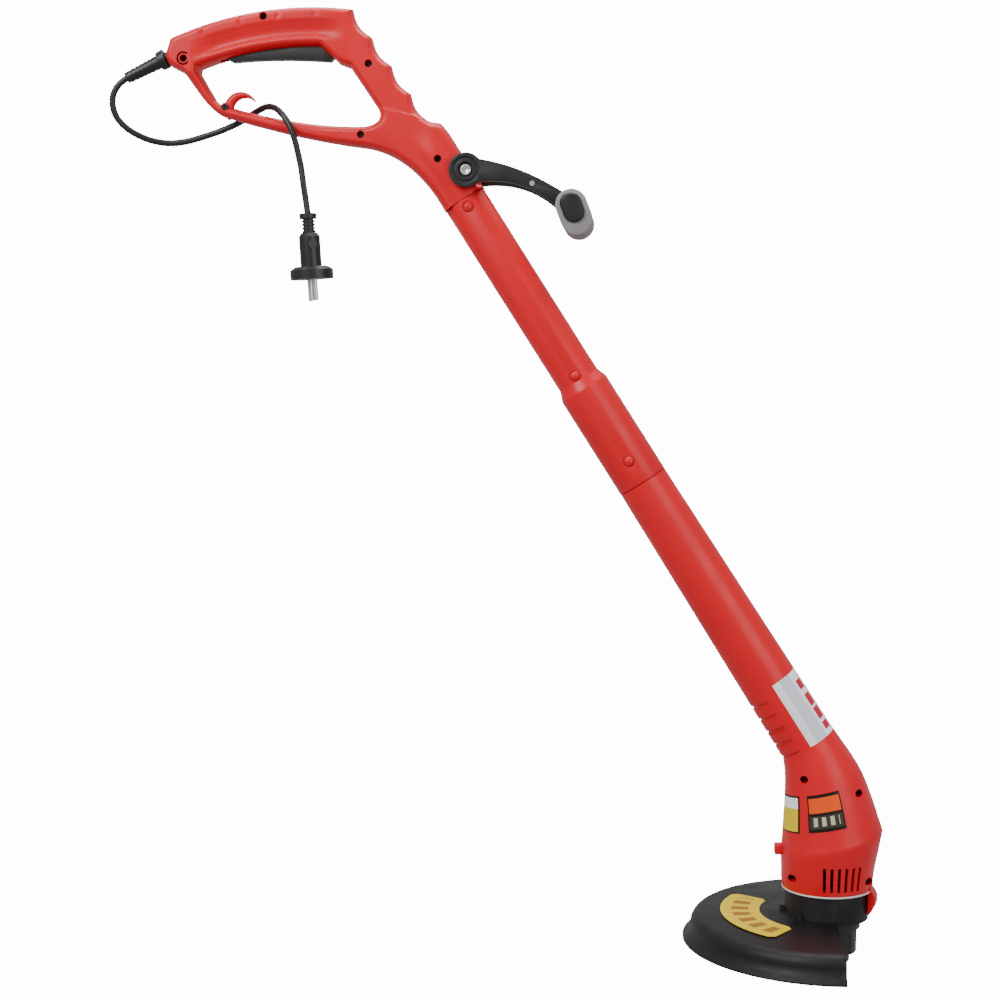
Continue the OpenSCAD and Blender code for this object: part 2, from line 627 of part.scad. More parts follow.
module head_screws() {
  color(steel) for (p = head_screw_spots) at_head(p[1]) {
    difference() {
      across_y(p[0], 0, head_screw_r, -14, -12);
      translate([p[0], -14.2, 0]) for (a = [0, 90]) rotate([0, a, 0]) cube([4, 2, 0.8], center = true);
    }
    across_y(p[0], 0, screw_r, -12, 6);
  }
}
module base_ring() { color("gainsboro") at_head(housing_base - 1.6) ring(1.5, housing_r + 0.4, housing_r - 4.5); }

// ---- motor ----
module field_stack() { color(grey) at_head(78) ring(30, stator_r, 15.3); }
module field_coils() {
  color(copper) {
    at_head(108.1) ring(5, stator_r - 2, 16.5);
    at_head(72.9) ring(5, stator_r - 2, 16.5);
  }
}
module armature() {
  color(copper) {
    at_head(80) ring(26, 14.8, shaft_r + 0.02);
    at_head(74) ring(6.1, 12.5, shaft_r + 0.02);
    at_head(105.9) ring(7, 12.5, shaft_r + 0.02);
  }
}
module commutator() {
  color(copper) difference() {
    at_head(116) ring(12, 9.5, shaft_r + 0.02);
    for (a = [0:30:330]) at_head(115) rotate([0, 0, a]) translate([8.7, -0.3, 0]) cube([3, 0.6, 14]);
  }
}
module motor_shaft() { color(steel) at_head(12) cylinder(h = 126, r = shaft_r, $fn = fine); }
module upper_bearing() { color(steel) at_head(131) ring(5, 8, shaft_r + fit); }
module lower_bearing() { color(steel) at_head(51.5) ring(5, 9, shaft_r + fit); }
module upper_bracket() {
  color(black) at_head(131) difference() {
    translate([-1, 0, 0]) cylinder(h = 3, r = 28, $fn = fine);
    translate([0, 0, -1]) cylinder(h = 6, r = 8 + fit, $fn = fine);
  }
}
guard_screw_r = 30;
module lower_bracket() {
  color(black) difference() {
    union() {
      at_head(53) ring(3, housing_r - shell_wall - 0.3, 9 + fit);
      for (a = [60, 180, 300]) at_head(48) rotate([0, 0, a]) translate([guard_screw_r, 0, 0]) cylinder(h = 5.1, r = 4, $fn = fine);
    }
    for (a = [60, 180, 300]) at_head(40) rotate([0, 0, a]) translate([guard_screw_r, 0, 0]) cylinder(h = 20, r = screw_r + fit, $fn = fine);
    for (x = [-33, 34]) at_head(61) across_y(x, 0, 4.4, -20, 20, soft);
  }
}
module brush_holders() {
  color("peru") for (s = [-1, 1]) at_head(122) rotate([0, 0, s * 90]) difference() {
    translate([11, -4.5, -4]) cube([14, 9, 8]);
    translate([10, -3.1, -2.6]) cube([13, 6.2, 5.2]);
  }
}
module carbon_brushes() {
  color([0.25, 0.25, 0.26]) for (s = [-1, 1]) at_head(122) rotate([0, 0, s * 90]) translate([9.8, -3, -2.5]) cube([10, 6, 5]);
}
fan_blades = 9;
module cooling_fan() {
  color(black) at_head(58) {
    ring(9, 9, shaft_r + 0.02);
    ring(1.8, 26, 8.9);
    for (i = [0:fan_blades - 1]) rotate([0, 0, i * 360 / fan_blades]) translate([8.5, -0.7, 1.7]) rotate([0, 0, 12]) cube([16.5, 1.4, 7]);
  }
}

// ---- guard ----
collar_r = housing_r - 3;
skirt_r = guard_r - 7;
module guard_profile() {
  polygon(concat(
    [[guard_r - 3, 0], [guard_r, 0], [guard_r, 1.5], [skirt_r + 1, 7]],
    arc_pts([skirt_r - 11, guard_h - 12.5], 11, 0, 80, 6),
    [[60, guard_h], [collar_r, guard_h + 1], [collar_r - 2, guard_h + 1], [collar_r - 2, guard_h - guard_wall],
     [60, guard_h - guard_wall]],
    arc_pts([skirt_r - 11, guard_h - 12.5], 11 - guard_wall, 80, 0, 6),
    [[skirt_r + 1 - guard_wall, 7]]));
}
cutter_x = [-14, 3];
cutter_y = skirt_r - 5.2;
module guard() {
  color(black) difference() {
    union() {
      intersection() {
        at_head() rotate_extrude($fn = 128) guard_profile();
        at_head(-10) translate([-200, -200, 0]) cube([200 + guard_cut, 400, 80]);
      }
      at_head(guard_h - guard_wall) ring(housing_base - 2 - guard_h + guard_wall - 0.1, collar_r, collar_r - 3);
      at_head(housing_base - 5) ring(2.9, collar_r - 2.9, 20);
      // ribs on the top face, running out from the collar
      for (a = [130, 180, 230]) at_head(guard_h - 0.2) rotate([0, 0, a]) translate([collar_r - 1, -1.2, 0]) cube([6, 2.4, 6]);
    }
    for (a = [60, 180, 300]) at_head(30) rotate([0, 0, a]) translate([guard_screw_r, 0, 0]) cylinder(h = 25, r = screw_r + fit, $fn = fine);
    for (x = [-10, -2]) at_head(10) across_y(x, 0, 1.5 + fit, cutter_y - 2, skirt_r + 10);
  }
}
module guard_screws() {
  color(steel) for (a = [60, 180, 300]) at_head(0) rotate([0, 0, a]) translate([guard_screw_r, 0, 0]) {
    translate([0, 0, housing_base - 7]) cylinder(h = 2, r = head_screw_r, $fn = fine);
    translate([0, 0, housing_base - 5]) cylinder(h = 10, r = screw_r, $fn = fine);
  }
}
module line_cutter() {
  color(steel) difference() {
    at_head(-5) translate([cutter_x[0], cutter_y, 0]) cube([cutter_x[1] - cutter_x[0], 1.4, 18]);
    for (x = [-10, -2]) at_head(10) across_y(x, 0, 1.5 + fit, cutter_y - 2, skirt_r + 10);
  }
}
module cutter_rivets() {
  color(steel) for (x = [-10, -2]) at_head(10) {
    across_y(x, 0, 1.5, cutter_y, skirt_r + 1.8);
    across_y(x, 0, 2.6, cutter_y - 1, cutter_y);
    across_y(x, 0, 2.6, skirt_r + 1.1, skirt_r + 2);
  }
}

// ---- spool ----
spool_wall = 2.2;
spool_low_r = spool_housing_r - 3;
eyelet_z = 4;
spool_top = 18;
spool_roof = spool_top + bump_travel + 5.8;
module spool_housing() {
  color(black) difference() {
    at_head() rotate_extrude($fn = fine) polygon([
      [shaft_r + 0.02, 10], [7, 10], [7, spool_roof], [spool_housing_r - spool_wall, spool_roof], [spool_housing_r - spool_wall, 12],
      [spool_low_r - spool_wall, 12], [spool_low_r - spool_wall, -5.8], [bump_r + 0.4, -5.8], [bump_r + 0.4, -8],
      [spool_low_r, -8], [spool_low_r, 12.5], [spool_housing_r, 14], [spool_housing_r, 30], [shaft_r + 0.02, 30]]);
    at_head(eyelet_z) across_y(0, 0, 3.2 + fit, -60, 60);
    // finger flutes round the lower wall
    for (a = [0:30:330]) at_head(-9) rotate([0, 0, a + 15]) translate([spool_low_r + 1.6, 0, 0]) cylinder(h = 20, r = 2.4, $fn = soft);
  }
}
module line_eyelets() {
  color(steel) at_head(eyelet_z) for (s = [-1, 1]) rotate([s > 0 ? -90 : 90, 0, 0]) {
    translate([0, 0, spool_low_r - spool_wall - 0.2]) ring(3.6, 3.2, 1.8);
    translate([0, 0, spool_low_r + 0.3]) ring(1.2, 4.4, 1.8);
  }
}
module line_spool() {
  color(grey) {
    at_head(-4) ring(spool_top + 4, 12, 7 + gap);
    at_head(-4) ring(2, spool_low_r - spool_wall - 0.6, 11.9);
    at_head(spool_top - 2) ring(2, spool_low_r - spool_wall - 0.6, 11.9);
  }
}
module wound_line() {
  color("orange") at_head(-1.9) ring(spool_top - 0.2, 20, 12.05);
}
module bump_button() {
  color(black) at_head() rotate_extrude($fn = fine) polygon(concat(
    [[0, -26], [13, -26]], arc_pts([13, -23], 3, 270, 360, 4),
    [[16, -18], [bump_r - 1, -18], [bump_r, -17], [bump_r, -5.5], [bump_r + 2.5, -5.5], [bump_r + 2.5, -4.3], [0, -4.3]]));
}
spring_turns = 4;
module bump_spring() {
  color(steel) for (i = [0:spring_turns - 1])
    at_head(spool_top + 1.2 + i * 2.4) rotate_extrude($fn = soft) translate([9.6, 0]) circle(r = 0.7, $fn = 8);
}

handle_shell_right();
handle_shell_left();
handle_screws();
trigger();
trigger_pin();
trigger_spring();
switch_body();
switch_plunger();
cord_clamp();
inlet_lead();
strain_relief();
mains_cord();
plug_body();
plug_pins();
motor_lead();
middle_tube();
snap_button_top();
snap_button_mid();
snap_button_low();
button_springs();
bail_arm_right();
bail_arm_left();
bail_core();
bail_grip();
bail_bolt();
bail_nut();
bail_screws();
head_shell_right();
head_shell_left();
head_screws();
base_ring();
field_stack();
field_coils();
armature();
commutator();
motor_shaft();
upper_bearing();
lower_bearing();
upper_bracket();
lower_bracket();
brush_holders();
carbon_brushes();
cooling_fan();
guard();
guard_screws();
line_cutter();
cutter_rivets();
spool_housing();
line_eyelets();
line_spool();
wound_line();
bump_button();
bump_spring();
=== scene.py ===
"""Looks of a corded electric string trimmer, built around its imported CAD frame.

Lengths in the classes are millimetres in the part's own frame: the origin is the middle of
the rear grip, +X runs towards the cutting head, +Z is up and the halves meet at Y = 0.
Meshes are written in metres.
"""

import logging
import math
from dataclasses import dataclass
from enum import Enum
from functools import cache

import bmesh
import bpy
import numpy as np
from mathutils import Matrix, Vector


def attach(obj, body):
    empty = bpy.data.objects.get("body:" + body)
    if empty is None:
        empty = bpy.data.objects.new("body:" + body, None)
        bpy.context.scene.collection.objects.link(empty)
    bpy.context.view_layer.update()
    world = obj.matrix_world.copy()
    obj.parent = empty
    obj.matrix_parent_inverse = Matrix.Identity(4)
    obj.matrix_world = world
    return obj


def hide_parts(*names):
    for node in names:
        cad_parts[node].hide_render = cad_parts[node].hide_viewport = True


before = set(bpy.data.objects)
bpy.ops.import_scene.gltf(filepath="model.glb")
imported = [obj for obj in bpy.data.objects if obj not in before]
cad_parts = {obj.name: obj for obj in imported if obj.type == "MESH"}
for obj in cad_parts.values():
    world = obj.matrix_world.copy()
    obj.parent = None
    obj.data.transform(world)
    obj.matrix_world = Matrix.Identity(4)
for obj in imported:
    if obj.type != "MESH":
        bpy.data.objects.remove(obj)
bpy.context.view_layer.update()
LOG = logging.getLogger("trimmer")
MM = 0.001


class Side(Enum):
    """Which clamshell half a piece belongs to, as the sign of its Y."""

    RIGHT = -1
    LEFT = 1


# ---- finishes ----


def linear(code: str) -> tuple[float, float, float, float]:
    """Turns an sRGB hex colour into linear RGBA.

    Args:
        code: colour such as "#d01020".

    Returns:
        Linear red, green, blue and an alpha of 1.
    """
    parts = [int(code[i : i + 2], 16) / 255 for i in (1, 3, 5)]
    red, green, blue = (p / 12.92 if p <= 0.04045 else ((p + 0.055) / 1.055) ** 2.4 for p in parts)
    return red, green, blue, 1.0


def add_node(tree: bpy.types.NodeTree, kind: str, values: dict | None = None,
             links: dict | None = None) -> bpy.types.Node:
    """Adds a shader node with its settings and links.

    Args:
        tree: node tree of the material.
        kind: Blender's name of the node's class.
        values: settings by property name, or by input name or number.
        links: source socket by input name or number.

    Returns:
        The new node.
    """
    node = tree.nodes.new(kind)
    for key, value in (values or {}).items():
        if isinstance(key, int) or key in node.inputs:
            node.inputs[key].default_value = value
        else:
            setattr(node, key, value)
    for key, socket in (links or {}).items():
        tree.links.new(socket, node.inputs[key])
    return node


def blank_material(name: str) -> tuple[bpy.types.Material, bpy.types.Node]:
    """Makes a material that holds only its shader.

    Args:
        name: material's name.

    Returns:
        The material and its Principled shader.
    """
    material = bpy.data.materials.new(name)
    material.use_nodes = True
    tree = material.node_tree
    tree.nodes.clear()
    shader = add_node(tree, "ShaderNodeBsdfPrincipled")
    add_node(tree, "ShaderNodeOutputMaterial", links={"Surface": shader.outputs["BSDF"]})
    return material, shader


@dataclass(frozen=True)
class Moulded:
    """A moulded plastic or rubber: one pigment, a fine tool texture and slight sink marks."""

    name: str
    colour: str
    shade: str
    roughness: float
    grain_mm: float
    relief: float
    coat: float = 0.0
    spread: float = 0.07
    shine: float = 0.5

    def material(self) -> bpy.types.Material:
        """Builds the node material, with pigment drift, gloss drift and tool texture."""
        material, shader = blank_material(self.name)
        tree = material.node_tree
        place = add_node(tree, "ShaderNodeTexCoord").outputs["Object"]
        drift = add_node(tree, "ShaderNodeTexNoise", {"Scale": 1 / (28 * MM), "Detail": 2.0}, {"Vector": place})
        blend = add_node(tree, "ShaderNodeMix",
                         {"data_type": "RGBA", 6: linear(self.colour), 7: linear(self.shade)},
                         {0: drift.outputs["Fac"]})
        gloss = add_node(tree, "ShaderNodeMapRange",
                         {"From Min": 0.3, "From Max": 0.7, "To Min": self.roughness - self.spread,
                          "To Max": self.roughness + self.spread}, {"Value": drift.outputs["Fac"]})
        grain = add_node(tree, "ShaderNodeTexNoise", {"Scale": 1 / (self.grain_mm * MM), "Detail": 3.0},
                         {"Vector": place})
        bump = add_node(tree, "ShaderNodeBump", {"Strength": self.relief, "Distance": 0.08 * self.grain_mm * MM},
                        {"Height": grain.outputs["Fac"]})
        shader.inputs["Coat Weight"].default_value = self.coat
        shader.inputs["Coat Roughness"].default_value = 0.18
        shader.inputs["IOR"].default_value = 1.5
        shader.inputs["Specular IOR Level"].default_value = self.shine
        tree.links.new(blend.outputs[2], shader.inputs["Base Color"])
        tree.links.new(gloss.outputs["Result"], shader.inputs["Roughness"])
        tree.links.new(bump.outputs["Normal"], shader.inputs["Normal"])
        return material


@dataclass(frozen=True)
class Metal:
    """A plated, drawn or pressed metal with fine working marks along one axis."""

    name: str
    colour: str
    roughness: float
    mark_mm: float = 0.4
    stretch: tuple[float, float, float] = (1.0, 1.0, 0.08)

    def material(self) -> bpy.types.Material:
        """Builds the node material, with working marks in the gloss and in the relief."""
        material, shader = blank_material(self.name)
        tree = material.node_tree
        place = add_node(tree, "ShaderNodeTexCoord").outputs["Object"]
        drawn = add_node(tree, "ShaderNodeMapping", {"Scale": self.stretch}, {"Vector": place})
        marks = add_node(tree, "ShaderNodeTexNoise", {"Scale": 1 / (self.mark_mm * MM), "Detail": 4.0},
                         {"Vector": drawn.outputs["Vector"]})
        gloss = add_node(tree, "ShaderNodeMapRange",
                         {"To Min": self.roughness - 0.1, "To Max": self.roughness + 0.14},
                         {"Value": marks.outputs["Fac"]})
        bump = add_node(tree, "ShaderNodeBump", {"Strength": 0.25, "Distance": 0.02 * MM},
                        {"Height": marks.outputs["Fac"]})
        shader.inputs["Base Color"].default_value = linear(self.colour)
        shader.inputs["Metallic"].default_value = 1.0
        tree.links.new(gloss.outputs["Result"], shader.inputs["Roughness"])
        tree.links.new(bump.outputs["Normal"], shader.inputs["Normal"])
        return material


@dataclass(frozen=True)
class Printed:
    """A gloss vinyl label: flat bands of ink across its own UV map, with no lettering.

    bands are colours up the label with the height where each starts, and marks gives how many
    plain blocks of ink stand side by side between two heights. across turns both a quarter.
    """

    name: str
    bands: tuple[tuple[float, str], ...]
    ink: str
    marks: int = 0
    marks_from: float = 0.0
    marks_to: float = 0.0
    mark_share: float = 0.6
    inset: float = 0.08
    across: bool = False

    def material(self) -> bpy.types.Material:
        """Builds the node material from colour bands and blocks of ink."""
        material, shader = blank_material(self.name)
        tree = material.node_tree
        place = add_node(tree, "ShaderNodeTexCoord").outputs["UV"]
        split = add_node(tree, "ShaderNodeSeparateXYZ", links={"Vector": place})
        axis_up, axis_on = ("X", "Y") if self.across else ("Y", "X")
        ramp = add_node(tree, "ShaderNodeValToRGB", links={"Fac": split.outputs[axis_up]})
        ramp.color_ramp.interpolation = "CONSTANT"
        steps = ramp.color_ramp.elements
        steps[0].position, steps[0].color = self.bands[0][0], linear(self.bands[0][1])
        steps[1].position, steps[1].color = self.bands[-1][0], linear(self.bands[-1][1])
        for start, colour in self.bands[1:-1]:
            steps.new(start).color = linear(colour)
        colour_out = ramp.outputs["Color"]
        if self.marks:
            wave = add_node(tree, "ShaderNodeMath", {"operation": "MULTIPLY", 1: self.marks},
                            {0: split.outputs[axis_on]})
            part = add_node(tree, "ShaderNodeMath", {"operation": "FRACT"}, {0: wave.outputs[0]})
            inked = add_node(tree, "ShaderNodeMath", {"operation": "LESS_THAN", 1: self.mark_share},
                             {0: part.outputs[0]})
            tests = [(axis_up, "GREATER_THAN", self.marks_from), (axis_up, "LESS_THAN", self.marks_to),
                     (axis_on, "GREATER_THAN", self.inset), (axis_on, "LESS_THAN", 1 - self.inset)]
            for axis, test, limit in tests:
                inside = add_node(tree, "ShaderNodeMath", {"operation": test, 1: limit}, {0: split.outputs[axis]})
                inked = add_node(tree, "ShaderNodeMath", {"operation": "MULTIPLY"},
                                 {0: inked.outputs[0], 1: inside.outputs[0]})
            blend = add_node(tree, "ShaderNodeMix", {"data_type": "RGBA", 7: linear(self.ink)},
                             {0: inked.outputs[0], 6: colour_out})
            colour_out = blend.outputs[2]
        tree.links.new(colour_out, shader.inputs["Base Color"])
        shader.inputs["Roughness"].default_value = 0.42
        shader.inputs["Specular IOR Level"].default_value = 0.2
        return material


# ABS, injection moulded and lightly polished: saturated red with broad soft highlights
RED_ABS = Moulded("red_abs_moulded", "#d80018", "#ca0014", 0.38, 0.5, 0.10, coat=0.06, shine=0.32)
# glass-filled nylon, moulded in a spark-eroded tool: near black with a dull sheen
BLACK_NYLON = Moulded("black_nylon_moulded", "#0c0c0e", "#08080a", 0.42, 0.6, 0.25)
# polypropylene guard, moulded in an etched tool: warm black, soft highlights
GUARD_PP = Moulded("guard_polypropylene_etched", "#120f13", "#0d0b0e", 0.46, 0.9, 0.30, shine=0.3)
# flexible PVC of the cord, plug and sleeve: black, satin
FLEX_PVC = Moulded("flex_pvc_extruded", "#111114", "#0c0c0e", 0.40, 0.8, 0.15)
# thermoplastic rubber sleeve of the front grip: mid grey, matt
GREY_TPR = Moulded("grey_rubber_moulded", "#8b8688", "#7f7a7c", 0.62, 0.5, 0.45)
# natural polypropylene seal ring: milky
PALE_PP = Moulded("pale_polypropylene", "#d9d3d2", "#cfc8c6", 0.45, 0.7, 0.15)
# acetal slide and spool, moulded grey
GREY_ACETAL = Moulded("grey_acetal_moulded", "#5c5c60", "#525256", 0.4, 0.5, 0.15)
# carbon brush, pressed and sintered
CARBON = Moulded("carbon_sintered", "#2b2b2d", "#202022", 0.6, 0.3, 0.5)
# monofilament nylon, wound: slightly clear orange
NYLON_LINE = Moulded("nylon_line_extruded", "#e0731e", "#cf6415", 0.28, 0.9, 0.3)
# zinc-plated steel of screws, pins and springs
ZINC_STEEL = Metal("steel_zinc_plated", "#c9cacc", 0.3)
# steel of the casing screws, darkened as painted shade for the deep screw wells they sit in
WELL_SHADE_STEEL = Metal("steel_painted_well_shade", "#3a3230", 0.38)
# punched and stacked silicon steel
LAMINATION = Metal("steel_laminated", "#8d8e90", 0.42, 0.5, (0.05, 0.05, 1.0))
# enamelled copper wire, wound
COPPER_WIRE = Metal("copper_enamelled", "#c07038", 0.34, 0.6, (0.1, 0.1, 1.0))
# pressed brass of the brush boxes
BRASS = Metal("brass_pressed", "#c2a05a", 0.34)
# vinyl labels, printed with plain blocks in place of words
NAME_LABEL = Printed(
    "label_white_vinyl",
    ((0.0, "#f4e2e6"), (0.07, "#f6f2f4"), (0.46, "#cfd2dc"), (0.8, "#f3eef0"), (0.94, "#f4e2e6")),
    "#c01a3c", 4, 0.1, 0.36, 0.72, 0.08, True)
RATING_LABEL = Printed(
    "label_orange_black_vinyl",
    ((0.0, "#1d1713"), (0.05, "#3a352c"), (0.42, "#1d1713"), (0.5, "#e8500a"), (0.95, "#1d1713")),
    "#b9b39b", 4, 0.12, 0.38, 0.5, 0.1)
CARE_LABEL = Printed("label_yellow_white_vinyl", ((0.0, "#e2c400"), (0.66, "#f6f2fa")), "#d9bf18")
LABEL_EDGE = Printed("label_border_ink", ((0.0, "#14100e"), (0.5, "#14100e")), "#14100e")
GUARD_LABEL = Printed(
    "label_yellow_vinyl", ((0.0, "#e0c200"), (0.12, "#dcbc00"), (0.88, "#e0c200")),
    "#9a6a00", 7, 0.28, 0.72, 0.55, 0.06)


@cache
def paint(finish: Moulded | Metal | Printed) -> bpy.types.Material:
    """Returns the finish's material, built on first use and then kept."""
    return finish.material()


# ---- mesh helpers ----


def unit(v: np.ndarray) -> np.ndarray:
    """Returns the vector at length 1."""
    return v / np.linalg.norm(v)


def arc(centre: tuple[float, float], r: float, a0: float, a1: float, n: int) -> np.ndarray:
    """Points on an arc.

    Args:
        centre: centre in X-Z, millimetres.
        r: radius.
        a0: first angle in degrees.
        a1: last angle in degrees.
        n: steps.

    Returns:
        n + 1 points.
    """
    a = np.radians(np.linspace(a0, a1, n + 1))
    return np.stack([centre[0] + r * np.cos(a), centre[1] + r * np.sin(a)], 1)


def bezier(p: tuple, q: tuple, r: tuple, t0: float = 0.0, t1: float = 1.0, n: int = 24) -> np.ndarray:
    """Points on a stretch of a quadratic curve.

    Args:
        p: start.
        q: control point.
        r: end.
        t0: where the stretch starts, 0 to 1.
        t1: where it ends.
        n: steps.

    Returns:
        n + 1 points.
    """
    t = np.linspace(t0, t1, n + 1)[:, None]
    return (1 - t) ** 2 * np.array(p) + 2 * t * (1 - t) * np.array(q) + t * t * np.array(r)


def along(line: np.ndarray, shares: np.ndarray) -> np.ndarray:
    """Points at given shares of a line's length.

    Args:
        line: points of the line.
        shares: positions from 0 to 1.

    Returns:
        One point for each share.
    """
    steps = np.linalg.norm(np.diff(line, axis=0), axis=1)
    run = np.concatenate([[0], np.cumsum(steps)]) / steps.sum()
    return np.stack([np.interp(shares, run, line[:, k]) for k in range(line.shape[1])], 1)


def distance(points: np.ndarray, line: np.ndarray) -> np.ndarray:
    """Distance from each point to a line of segments.

    Args:
        points: array of points.
        line: the line's points, with a row of NaN where it breaks.

    Returns:
        One distance for each point.
    """
    best = np.full(len(points), 1e9)
    for a, b in zip(line[:-1], line[1:]):
        d = b - a
        size = d @ d
        if not size > 0:
            continue
        t = np.clip((points - a) @ d / size, 0, 1)
        best = np.minimum(best, np.linalg.norm(points - (a + t[:, None] * d), axis=1))
    return best


def rounding(d: np.ndarray, r: float | np.ndarray) -> np.ndarray:
    """Quarter-circle rise from 0 at an edge to 1 at r from it."""
    return np.sqrt(np.maximum(0, 1 - (1 - np.clip(d / r, 0, 1)) ** 2))


def ease(x: np.ndarray, a: float, b: float) -> np.ndarray:
    """Smooth rise from 0 at a to 1 at b."""
    t = np.clip((x - a) / (b - a), 0, 1)
    return t * t * (3 - 2 * t)


def laid_grid(rows: np.ndarray) -> bmesh.types.BMesh:
    """Lays a grid of faces over rows of points, and joins edges that meet.

    Args:
        rows: array of (row, column, xyz) in millimetres.

    Returns:
        The new bmesh, in metres, with a UV map across the grid.
    """
    m, n = rows.shape[:2]
    bm = bmesh.new()
    bm.loops.layers.uv.new("UVMap")
    bmesh.ops.create_grid(bm, x_segments=n - 1, y_segments=m - 1, size=1, calc_uvs=True)
    for v in bm.verts:
        i, j = round((v.co.y + 1) / 2 * (m - 1)), round((v.co.x + 1) / 2 * (n - 1))
        v.co = Vector(rows[i][j]) * MM
    bmesh.ops.remove_doubles(bm, verts=bm.verts, dist=1e-6)
    return bm


def turned(profile: list[tuple[float, float]], place: Matrix, angle: float = 360.0, steps: int = 64,
           start: float = 0.0) -> bmesh.types.BMesh:
    """Spins a profile of (radius, height) round its own Z and moves it into place.

    Args:
        profile: outline in millimetres.
        place: placing matrix in millimetres.
        angle: how far it is spun, in degrees.
        steps: faces round it.
        start: angle of the first section.

    Returns:
        The new bmesh, in metres.
    """
    bm = bmesh.new()
    verts = [bm.verts.new((r, 0, z)) for r, z in profile]
    edges = [bm.edges.new(pair) for pair in zip(verts, verts[1:])]
    full = angle >= 360
    bmesh.ops.rotate(bm, verts=verts, cent=(0, 0, 0), matrix=Matrix.Rotation(math.radians(start), 3, "Z"))
    bmesh.ops.spin(bm, geom=verts + edges, cent=(0, 0, 0), axis=(0, 0, 1), angle=math.radians(angle), steps=steps,
                   use_merge=full)
    bmesh.ops.remove_doubles(bm, verts=bm.verts, dist=1e-4)
    if not full:
        bmesh.ops.holes_fill(bm, edges=[e for e in bm.edges if e.is_boundary], sides=0)
    bmesh.ops.recalc_face_normals(bm, faces=bm.faces)
    bmesh.ops.transform(bm, matrix=Matrix.Scale(MM, 4) @ place, verts=bm.verts)
    return bm


def block(size: tuple[float, float, float], place: Matrix, round_mm: float) -> bmesh.types.BMesh:
    """Makes a rounded block in place, from a cube.

    Args:
        size: its three sides in millimetres.
        place: placing matrix in millimetres.
        round_mm: radius of its edges.

    Returns:
        The new bmesh, in metres.
    """
    bm = bmesh.new()
    bmesh.ops.create_cube(bm, size=1)
    bmesh.ops.scale(bm, vec=size, verts=bm.verts)
    if round_mm:
        bmesh.ops.bevel(bm, geom=bm.edges[:], offset=round_mm, affect="EDGES", segments=3, profile=0.5, material=-1)
    bmesh.ops.transform(bm, matrix=Matrix.Scale(MM, 4) @ place, verts=bm.verts)
    return bm


def rod(r: float, place: Matrix, length: float, steps: int = 32) -> bmesh.types.BMesh:
    """Makes a round rod that runs along its own +Z from the placing matrix's origin."""
    return turned([(0, 0), (r, 0), (r, length), (0, length)], place, steps=steps)


def merged(*parts: bmesh.types.BMesh) -> bmesh.types.BMesh:
    """Joins several bmeshes into the first one and frees the others.

    Args:
        parts: bmeshes in metres.

    Returns:
        The first bmesh, with all of them in it.
    """
    whole = parts[0]
    for part in parts[1:]:
        carrier = bpy.data.meshes.new("carrier")
        part.to_mesh(carrier)
        part.free()
        whole.from_mesh(carrier)
        bpy.data.meshes.remove(carrier)
    return whole


def make_object(bm: bmesh.types.BMesh, name: str) -> bpy.types.Object:
    """Turns a bmesh into an object at the origin and frees it.

    Args:
        bm: bmesh in metres.
        name: name of the object and its mesh.

    Returns:
        The new object, linked to the scene.
    """
    mesh = bpy.data.meshes.new(name)
    bm.to_mesh(mesh)
    bm.free()
    obj = bpy.data.objects.new(name, mesh)
    bpy.context.scene.collection.objects.link(obj)
    return obj


def settle(obj: bpy.types.Object) -> bpy.types.Object:
    """Applies an object's modifiers to its mesh.

    Args:
        obj: the object.

    Returns:
        The same object.
    """
    bpy.context.view_layer.update()
    solid = bpy.data.meshes.new_from_object(obj.evaluated_get(bpy.context.evaluated_depsgraph_get()))
    obj.modifiers.clear()
    obj.data = solid
    return obj


def thicken(obj: bpy.types.Object, wall: float) -> bpy.types.Object:
    """Gives a skin its wall, inwards, in millimetres."""
    solid = obj.modifiers.new("wall", "SOLIDIFY")
    solid.thickness, solid.offset = wall * MM, -1
    return settle(obj)


def carve(obj: bpy.types.Object, *cutters: bmesh.types.BMesh) -> bpy.types.Object:
    """Cuts holes with closed cutters, one after another.

    Args:
        obj: object to be cut.
        cutters: closed bmeshes in metres, which are freed.

    Returns:
        The same object.
    """
    for cutter in cutters:
        tool = make_object(cutter, "cutter")
        cut = obj.modifiers.new("cut", "BOOLEAN")
        cut.operation, cut.object, cut.solver = "DIFFERENCE", tool, "EXACT"
        settle(obj)
        bpy.data.objects.remove(tool)
    return obj


def dress(obj: bpy.types.Object, finish: Moulded | Metal | Printed, body: str,
          replaced: tuple[str, ...] = (), crease: float = 34.0) -> bpy.types.Object:
    """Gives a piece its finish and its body.

    Args:
        obj: the piece.
        finish: its finish.
        body: CAD body that it rides on.
        replaced: CAD nodes that it stands for.
        crease: edges sharper than this many degrees stay crisp.

    Returns:
        The same piece.
    """
    obj.data.materials.clear()
    obj.data.materials.append(paint(finish))
    obj.data.polygons.foreach_set("material_index", [0] * len(obj.data.polygons))
    obj.data.shade_smooth()
    obj.data.set_sharp_from_angle(angle=math.radians(crease))
    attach(obj, body)
    if replaced:
        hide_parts(*replaced)
    LOG.info("%s: %d faces on %s", obj.name, len(obj.data.polygons), body)
    return obj


